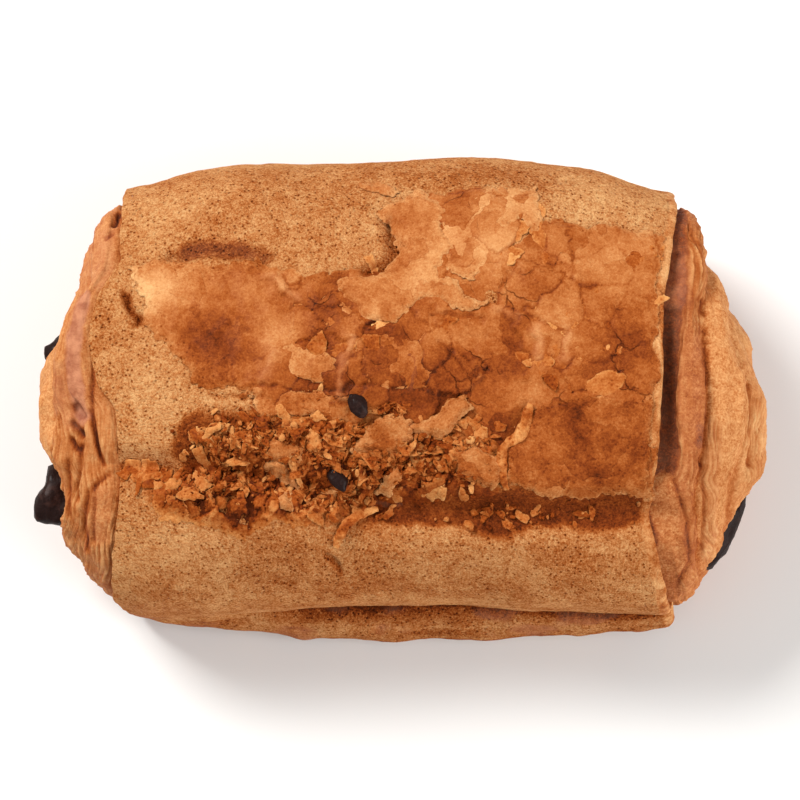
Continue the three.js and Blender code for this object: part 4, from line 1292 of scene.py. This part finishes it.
def smooth_path(path, count):
    """The path's corners cut off three times, then read at evenly spaced places."""
    path = np.array(path, float)
    for _ in range(3):
        near, far = 0.75 * path[:-1] + 0.25 * path[1:], 0.25 * path[:-1] + 0.75 * path[1:]
        path = np.concatenate([path[:1], np.stack([near, far], 1).reshape(-1, 2), path[-1:]])
    steps = np.concatenate([[0], np.cumsum(np.hypot(*np.diff(path, axis=0).T))])
    at = np.linspace(0, steps[-1], count)
    return np.stack([np.interp(at, steps, path[:, k]) for k in range(2)], -1)


def tube_faces(rings, sides):
    """The quads of a tube of closed rings, and the fans that close both its ends."""
    first, last = np.arange(sides), (rings - 1) * sides + np.arange(sides)
    poles = np.concatenate([pole_faces(first, rings * sides), pole_faces(last[::-1], rings * sides + 1)])
    return [grid_faces(rings, sides, round_columns=True), poles]


def curled_rim(radius, lift, path, seed):
    """Rings of an arc's outer and inner side, with both of its long edges torn by noise."""
    rings, sides = 120, 13
    path = smooth_path(path, rings)
    along = np.linspace(0, 1, rings)[:, None]
    length = 8 * radius * along
    ahead = np.gradient(path, axis=0)
    ahead = ahead / np.linalg.norm(ahead, axis=1, keepdims=True)
    wide = radius * (0.45 + 0.55 * np.sin(np.pi * along) ** 0.5) * (1 + 0.34 * grain(length, 0, 0, 2.2, seed, 3))
    start = 15 + 40 * grain(length, 3, 0, 0.9, seed + 1, 3)
    end = 158 + 40 * grain(length, 5, 0, 0.9, seed + 2, 3)
    turn = np.radians(blend(start, end, np.linspace(0, 1, sides)[None, :]))
    turn = np.concatenate([turn, turn[:, ::-1]], 1)
    inner = np.arange(2 * sides) >= sides
    across, up = wide * np.cos(turn), (0.62 * wide - 0.24 * inner) * np.sin(turn)
    x = path[:, :1] - across * ahead[:, 1:]
    y = path[:, 1:] + across * ahead[:, :1]
    ground = crust_height(path[:, 0], path[:, 1])[:, None] + lift
    lumps = 0.36 * grain(x, y, 0, 1.5, seed + 3, 4)
    points = np.stack([x + 0.3 * lumps, y - 0.4 * lumps, ground + up + lumps], -1)
    tips = points[[0, -1]].mean(1)
    points = np.concatenate([points.reshape(-1, 3), tips])
    return points, outward(points, tube_faces(rings, 2 * sides))


def make_curled_rims():
    """Every curled rim, with a mottled bake."""
    parts = []
    for index, (radius, bake, lift, path) in enumerate(CURLED_RIMS):
        points, groups = curled_rim(radius, lift, path, 500 + 9 * index)
        mottled = grain(*points.T, 1.6, 560 + index, 4)
        parts.append((points, groups, bake + 0.3 * mottled))
    points, groups, (bake,) = joined(parts)
    return add_piece("curled_rims", points, groups, golden_flake, "pastry", "crust", bake=bake, glaze=0.4, rose=0.0)


curled_rims = make_curled_rims()

# %% [markdown]
# ## Shards and crumbs
#
# In front of the torn skin lies a bed of shards and crumbs. A shard is a small bent leaf: a grid of
# places with its own length, width, bend and twist. All shards are worked out at once, as one array with
# the shard as its first side. A crumb is a ball of 12 places, each pushed in or out.

# %% Where shards and crumbs lie
# x, y, half length, half depth, share of all
CRUMB_ZONES = [
    (-25, -12.5, 7, 3.5, 0.18), (-14, -13, 8, 4, 0.23), (-3, -14.5, 8, 4, 0.22), (7, -14.5, 6, 4.5, 0.13),
    (-28, -18.5, 8, 2.6, 0.09), (-10, -20, 8, 2.5, 0.08), (18, -22.6, 12, 1.6, 0.03), (-2.5, -7.6, 4, 1.2, 0.03),
]


def scattered(draw, count):
    """Random places in the zones, denser in each zone's middle."""
    zones = np.array(CRUMB_ZONES)
    share = zones[:, 4] / zones[:, 4].sum()
    zone = zones[draw.choice(len(zones), count, p=share)]
    return zone[:, 0] + zone[:, 2] * draw.normal(0, 0.5, count), zone[:, 1] + zone[:, 3] * draw.normal(0, 0.5, count)


def turned(points, yaw, tilt, towards):
    """Turns each thing's places about Z by yaw, then tips them by tilt about a level axis."""
    def about_z(given, angle):
        c, s = np.cos(angle)[:, None], np.sin(angle)[:, None]
        x, y, z = np.moveaxis(given, -1, 0)
        return np.stack([c * x - s * y, s * x + c * y, z], -1)
    laid = about_z(points, yaw - towards)
    c, s = np.cos(tilt)[:, None], np.sin(tilt)[:, None]
    x, y, z = np.moveaxis(laid, -1, 0)
    return about_z(np.stack([x, c * y - s * z, s * y + c * z], -1), towards)


def make_shards(name, count, length, grid, seed, bake):
    """Bent leaves: x = length u (1 + a v), y = width v (1 + b u), z = bend u^2 + curl v^2 + twist u v."""
    draw = np.random.default_rng(seed)
    rows, columns = grid
    u, v = np.meshgrid(np.linspace(-1, 1, rows), np.linspace(-1, 1, columns), indexing="ij")
    u, v = u.ravel()[None, :], v.ravel()[None, :]
    half = np.exp(draw.normal(np.log(length / 2), 0.35, count))[:, None]
    width = half * draw.uniform(0.25, 0.65, (count, 1))
    lean, taper = draw.uniform(-0.45, 0.45, (2, count, 1))
    bend, curl, twist = draw.normal(0, 0.24, (3, count, 1)) * half
    rim = (np.maximum(np.abs(u), np.abs(v)) > 0.99)
    torn = 1 + 0.2 * draw.uniform(-1, 1, (count, u.size)) * rim
    x = half * u * (1 + lean * v) * torn * (1 - 0.18 * v ** 2)
    y = width * v * (1 + taper * u) * torn * (1 - 0.18 * u ** 2)
    z = bend * u ** 2 + curl * v ** 2 + twist * u * v + 0.05 * draw.uniform(-1, 1, (count, u.size))
    wall = draw.uniform(0.12, 0.26, (count, 1)) * (1 - 0.4 * rim)
    leaf = np.concatenate([np.stack([x, y, z + wall / 2], -1), np.stack([x, y, z - wall / 2], -1)], 1)
    tilt = np.abs(draw.normal(0, 0.3, count))
    leaf = turned(leaf, draw.uniform(0, 2 * np.pi, count), tilt, draw.uniform(0, 2 * np.pi, count))
    at_x, at_y = scattered(draw, count)
    ground = crust_height(at_x, at_y) + bed_height(at_x, at_y) + 0.3 * half[:, 0] * np.sin(tilt)
    ground = ground + draw.uniform(0, 0.25, count)
    leaf = leaf + np.stack([at_x, at_y, ground], -1)[:, None, :]
    flat = grid_faces(rows, columns)
    numbers = np.arange(rows * columns).reshape(rows, columns)
    border = np.concatenate([numbers[:-1, 0], numbers[-1, :-1], numbers[:0:-1, -1], numbers[0, :0:-1]])
    after = np.roll(border, -1)
    below = rows * columns
    walls = np.stack([after, border, border + below, after + below], -1)
    one = outward(leaf[0], [np.concatenate([flat, flat[:, ::-1] + below, walls])])[0]
    faces = (one[None] + (np.arange(count) * 2 * below)[:, None, None]).reshape(-1, 4)
    own = np.clip(draw.normal(bake, 0.12, (count, 1)), 0.15, 0.9)
    browned = own - 0.08 * rim + 0.05 * draw.uniform(-1, 1, (count, u.size))
    browned = np.concatenate([browned, browned], 1).ravel()
    points = leaf.reshape(-1, 3)
    return add_piece(name, points, [faces], golden_flake, "pastry", "crust", bake=browned, glaze=0.35, rose=0.0)


large_shards = make_shards("large_shards", 110, 2.4, (7, 5), 301, 0.67)
fine_shards = make_shards("fine_shards", 500, 1.3, (4, 3), 302, 0.69)


# %% Crumbs
def ball():
    """The 12 places and 20 faces of an icosahedron: three crossed golden rectangles."""
    golden = (1 + 5 ** 0.5) / 2
    corners = [(0, a, b * golden) for a in (-1, 1) for b in (-1, 1)]
    places = np.array([np.roll(corner, turn) for turn in range(3) for corner in corners]) / np.hypot(1, golden)
    near = np.linalg.norm(places[:, None] - places[None], axis=-1) < 1.1
    faces = [(i, j, k) for i in range(12) for j in range(i + 1, 12) for k in range(j + 1, 12)
             if near[i, j] and near[j, k] and near[i, k]]
    faces = np.array(faces)
    normal = np.cross(places[faces[:, 1]] - places[faces[:, 0]], places[faces[:, 2]] - places[faces[:, 0]])
    inwards = np.einsum("ij,ij->i", normal, places[faces[:, 0]]) < 0
    faces[inwards] = faces[inwards][:, ::-1]
    return places, faces


def make_crumbs(count, size, seed):
    """Balls squashed by three random factors, with every place pushed in or out."""
    draw = np.random.default_rng(seed)
    places, one = ball()
    half = np.exp(draw.normal(np.log(size / 2), 0.4, count))
    squash = draw.uniform(0.55, 1.25, (count, 1, 3))
    crumb = places[None] * squash * half[:, None, None] * draw.uniform(0.75, 1.25, (count, 12, 1))
    crumb = turned(crumb, draw.uniform(0, 6.3, count), draw.uniform(0, 1.5, count), draw.uniform(0, 6.3, count))
    at_x, at_y = scattered(draw, count)
    ground = crust_height(at_x, at_y) + bed_height(at_x, at_y) + half * draw.uniform(0, 0.6, count)
    crumb = crumb + np.stack([at_x, at_y, ground], -1)[:, None, :]
    faces = (one[None] + (np.arange(count) * 12)[:, None, None]).reshape(-1, 3)
    bake = np.repeat(np.clip(draw.normal(0.7, 0.15, count), 0.1, 0.9), 12)
    points = crumb.reshape(-1, 3)
    return add_piece("crumbs", points, [faces], golden_flake, "pastry", "crust", bake=bake, glaze=0.2, rose=0.0)


crumbs = make_crumbs(900, 0.62, 303)

# %% [markdown]
# ## Chocolate
#
# Two sticks run through the roll and stick out at its ends, where they melted a little and set again
# with a satin bloom. Each is a rounded-square section carried along its path, with lumps of its own.

# %% Chocolate finish
def chocolate_finish():
    """Nearly black brown with a weak bloom in patches and small pits."""
    recipe = Recipe("dark_chocolate", {"Specular IOR Level": 0.05, "Coat Roughness": 0.25})
    bloom = recipe.noise(2.2, detail=4)
    pits = recipe.noise(0.5, detail=3)
    bloomed = ((bloom - 0.55) * 4).clipped()
    colour = recipe.mixed(bloomed, linear(36, 21, 18), linear(74, 50, 44))
    return recipe.surface(
        Base_Color=colour,
        Roughness=0.5 + bloomed * 0.25,
        Coat_Weight=0.1 - bloomed * 0.08,
        Normal=recipe.bumped(pits * 0.5 + bloom * 0.5, 0.35),
    )


dark_chocolate = chocolate_finish()

# %% Chocolate sticks and bits
# x, y, z of the stick's middle, then half its width and half its height
FRONT_STICK = (0.0, 0.44, [
    (-58.8, -18.9, 20.4, 0, 0), (-58.6, -18.9, 20.4, 1.5, 1.2), (-58, -18.7, 20.5, 2.3, 2),
    (-57.1, -18.2, 20.5, 3.1, 2.5), (-56.5, -16.9, 20.5, 4.7, 2.7), (-55.4, -16.8, 20.6, 5, 2.7),
    (-48, -17, 20.4, 5, 2.6), (-20, -17.4, 20, 5.2, 2.7), (14, -18.4, 20, 5.2, 2.7), (40, -20.6, 20.2, 5.3, 2.7),
    (47, -22.2, 20.4, 6.2, 2.8), (50.6, -22.4, 20.4, 6.9, 2.8), (51.7, -22.4, 20.3, 6.4, 2.4),
    (52.5, -22.4, 20.2, 4, 1.6), (52.8, -22.4, 20.2, 0, 0),
])
BACK_STICK = (0.0, 0.0, [
    (-57.7, 6.2, 19.3, 0, 0), (-57.5, 6.2, 19.3, 1.1, 1), (-56.6, 6.2, 19.3, 1.7, 1.5), (-55.2, 6.6, 19.2, 2.4, 1.9),
    (-54, 7.4, 19, 3.6, 2.4), (-50, 8.2, 18.8, 4.9, 2.6), (-20, 8.4, 17.4, 5.2, 2.7),
    (14, 8.4, 15.6, 5.2, 2.7), (42, 8.2, 13.4, 5.2, 2.7), (51, 8, 12.8, 5.1, 2.6),
    (53, 8, 12.7, 4, 2.1), (53.9, 8, 12.7, 2.2, 1.3), (54.1, 8, 12.7, 0, 0),
])
STICK_SQUARENESS = 2.8


def make_stick(name, leans, rows, seed):
    """A rounded square |y/w|^p + |z/h|^p = 1 carried along the rows; it leans and shrinks to a pole at each end."""
    rows = np.array(rows, float)
    steps = np.concatenate([[0], np.cumsum(np.clip(np.linalg.norm(np.diff(rows, axis=0), axis=1), 0.7, 9))])
    read = np.linspace(0, steps[-1], 150)[1:-1]
    x, y, z, wide, high = (np.interp(read, steps, rows[:, k])[:, None] for k in range(5))
    angle = np.linspace(0, 2 * np.pi, 60, endpoint=False)[None, :]
    across = wide * power_of(np.cos(angle), 2 / STICK_SQUARENESS)
    up = high * power_of(np.sin(angle), 2 / STICK_SQUARENESS)
    lean = blend(*leans, smoothstep(x, -20, 40))
    points = np.stack(np.broadcast_arrays(x + lean * across, y + across, z + up), -1)
    lumps = 0.38 * grain(*np.moveaxis(points, -1, 0), 2.4, seed, 3) * np.minimum(1, wide / 2)
    away = np.stack(np.broadcast_arrays(0.6 * np.sign(x), across / (wide + 0.1), up / (high + 0.1)), -1)
    points = points + away * lumps[..., None]
    points = np.concatenate([points.reshape(-1, 3), rows[[0, -1], :3]])
    groups = outward(points, tube_faces(len(read), angle.size))
    return add_piece(name, points, groups, dark_chocolate, "chocolate_" + name, "chocolate")


# x, y, half length, half width, half height, turn of each bit of chocolate on top
CHOCOLATE_BITS = [(-7.1, -7.2, 1.95, 1.4, 1, -1.05), (-10.2, -17.9, 2, 1.25, 1, -0.95)]


def make_chocolate_bits():
    """Lumpy eggs, half sunk in the crumbs: places on a ball scaled by three half sizes."""
    parts = []
    across, round_it = np.meshgrid(np.linspace(0, np.pi, 34)[1:-1], np.linspace(0, 2 * np.pi, 48, endpoint=False),
                                   indexing="ij")
    ball_points = np.stack([np.cos(across), np.sin(across) * np.cos(round_it), np.sin(across) * np.sin(round_it)], -1)
    groups = tube_faces(*across.shape)
    ball_points = np.concatenate([ball_points.reshape(-1, 3), [(1, 0, 0), (-1, 0, 0)]])
    for index, (x, y, long, wide, high, turn) in enumerate(CHOCOLATE_BITS):
        lumpy = ball_points * (1 + 0.12 * grain(*(2.2 * ball_points.T), 1.3, 400 + index, 3))[:, None]
        lumpy = turned((lumpy * (long, wide, high))[None], np.array([turn]), np.array([0.15]), np.array([0.4]))[0]
        height = crust_height(np.array([x]), np.array([y]))[0] + 1.4
        points = lumpy + (x, y, height)
        parts.append((points, outward(points, groups)))
    points, groups, _ = joined(parts)
    return add_piece("chocolate_bits", points, groups, dark_chocolate, "pastry", "chocolate")


chocolate_bits = make_chocolate_bits()
front_stick = make_stick("stick_front", FRONT_STICK[:2], FRONT_STICK[2], 201)
back_stick = make_stick("stick_back", BACK_STICK[:2], BACK_STICK[2], 202)

# %% [markdown]
# ## Camera, light and floor
#
# The camera looks down from 10 degrees in front of straight above with a long lens. One large soft light
# stands at the upper left of the picture, as in the photo, and a weak one fills the shadows.

# %% Camera
VIEW_TILT = math.radians(10)
VIEW_DISTANCE = 0.6
VIEW_TARGET = Vector((0, -0.00144, 0.022))
LENS = 169.8

camera = bpy.data.objects.new("camera", bpy.data.cameras.new("camera"))
camera.data.lens = LENS
camera.data.sensor_width = 36
towards = Vector((0, -math.sin(VIEW_TILT), math.cos(VIEW_TILT)))
camera.location = VIEW_TARGET + VIEW_DISTANCE * towards
camera.rotation_euler = (VIEW_TILT, 0, 0)
bpy.context.scene.collection.objects.link(camera)
bpy.context.scene.camera = camera


# %% Floor and light
def add_light(name, place, size, watts, colour):
    """A square soft light at `place`, in metres, that faces the roll."""
    lamp = bpy.data.lights.new(name, "AREA")
    lamp.size = size
    lamp.energy = watts
    lamp.color = colour
    light = bpy.data.objects.new(name, lamp)
    light.location = place
    light.rotation_euler = (VIEW_TARGET - Vector(place)).to_track_quat("-Z", "Y").to_euler()
    bpy.context.scene.collection.objects.link(light)


add_light("key", (-0.5, 0.42, 0.75), 0.36, 10.0, (1.0, 0.985, 0.96))
add_light("fill", (0.75, -0.35, 0.45), 0.7, 7.0, (1.0, 0.99, 0.98))

floor_mesh = bpy.data.meshes.new("floor")
floor_mesh.from_pydata([(-2, -2, 0), (2, -2, 0), (2, 2, 0), (-2, 2, 0)], [], [(0, 1, 2, 3)])
floor = bpy.data.objects.new("floor", floor_mesh)
bpy.context.scene.collection.objects.link(floor)
floor_finish = Recipe("pale_floor", {"Roughness": 0.9, "Base Color": (0.86, 0.86, 0.85, 1)})
floor_mesh.materials.append(floor_finish.material)

world = bpy.data.worlds.new("studio")
bpy.context.scene.world = world
world.use_nodes = True
world.node_tree.nodes["Background"].inputs["Color"].default_value = (1, 1, 1, 1)
world.node_tree.nodes["Background"].inputs["Strength"].default_value = 0.42
bpy.context.scene.view_settings.view_transform = "Standard"
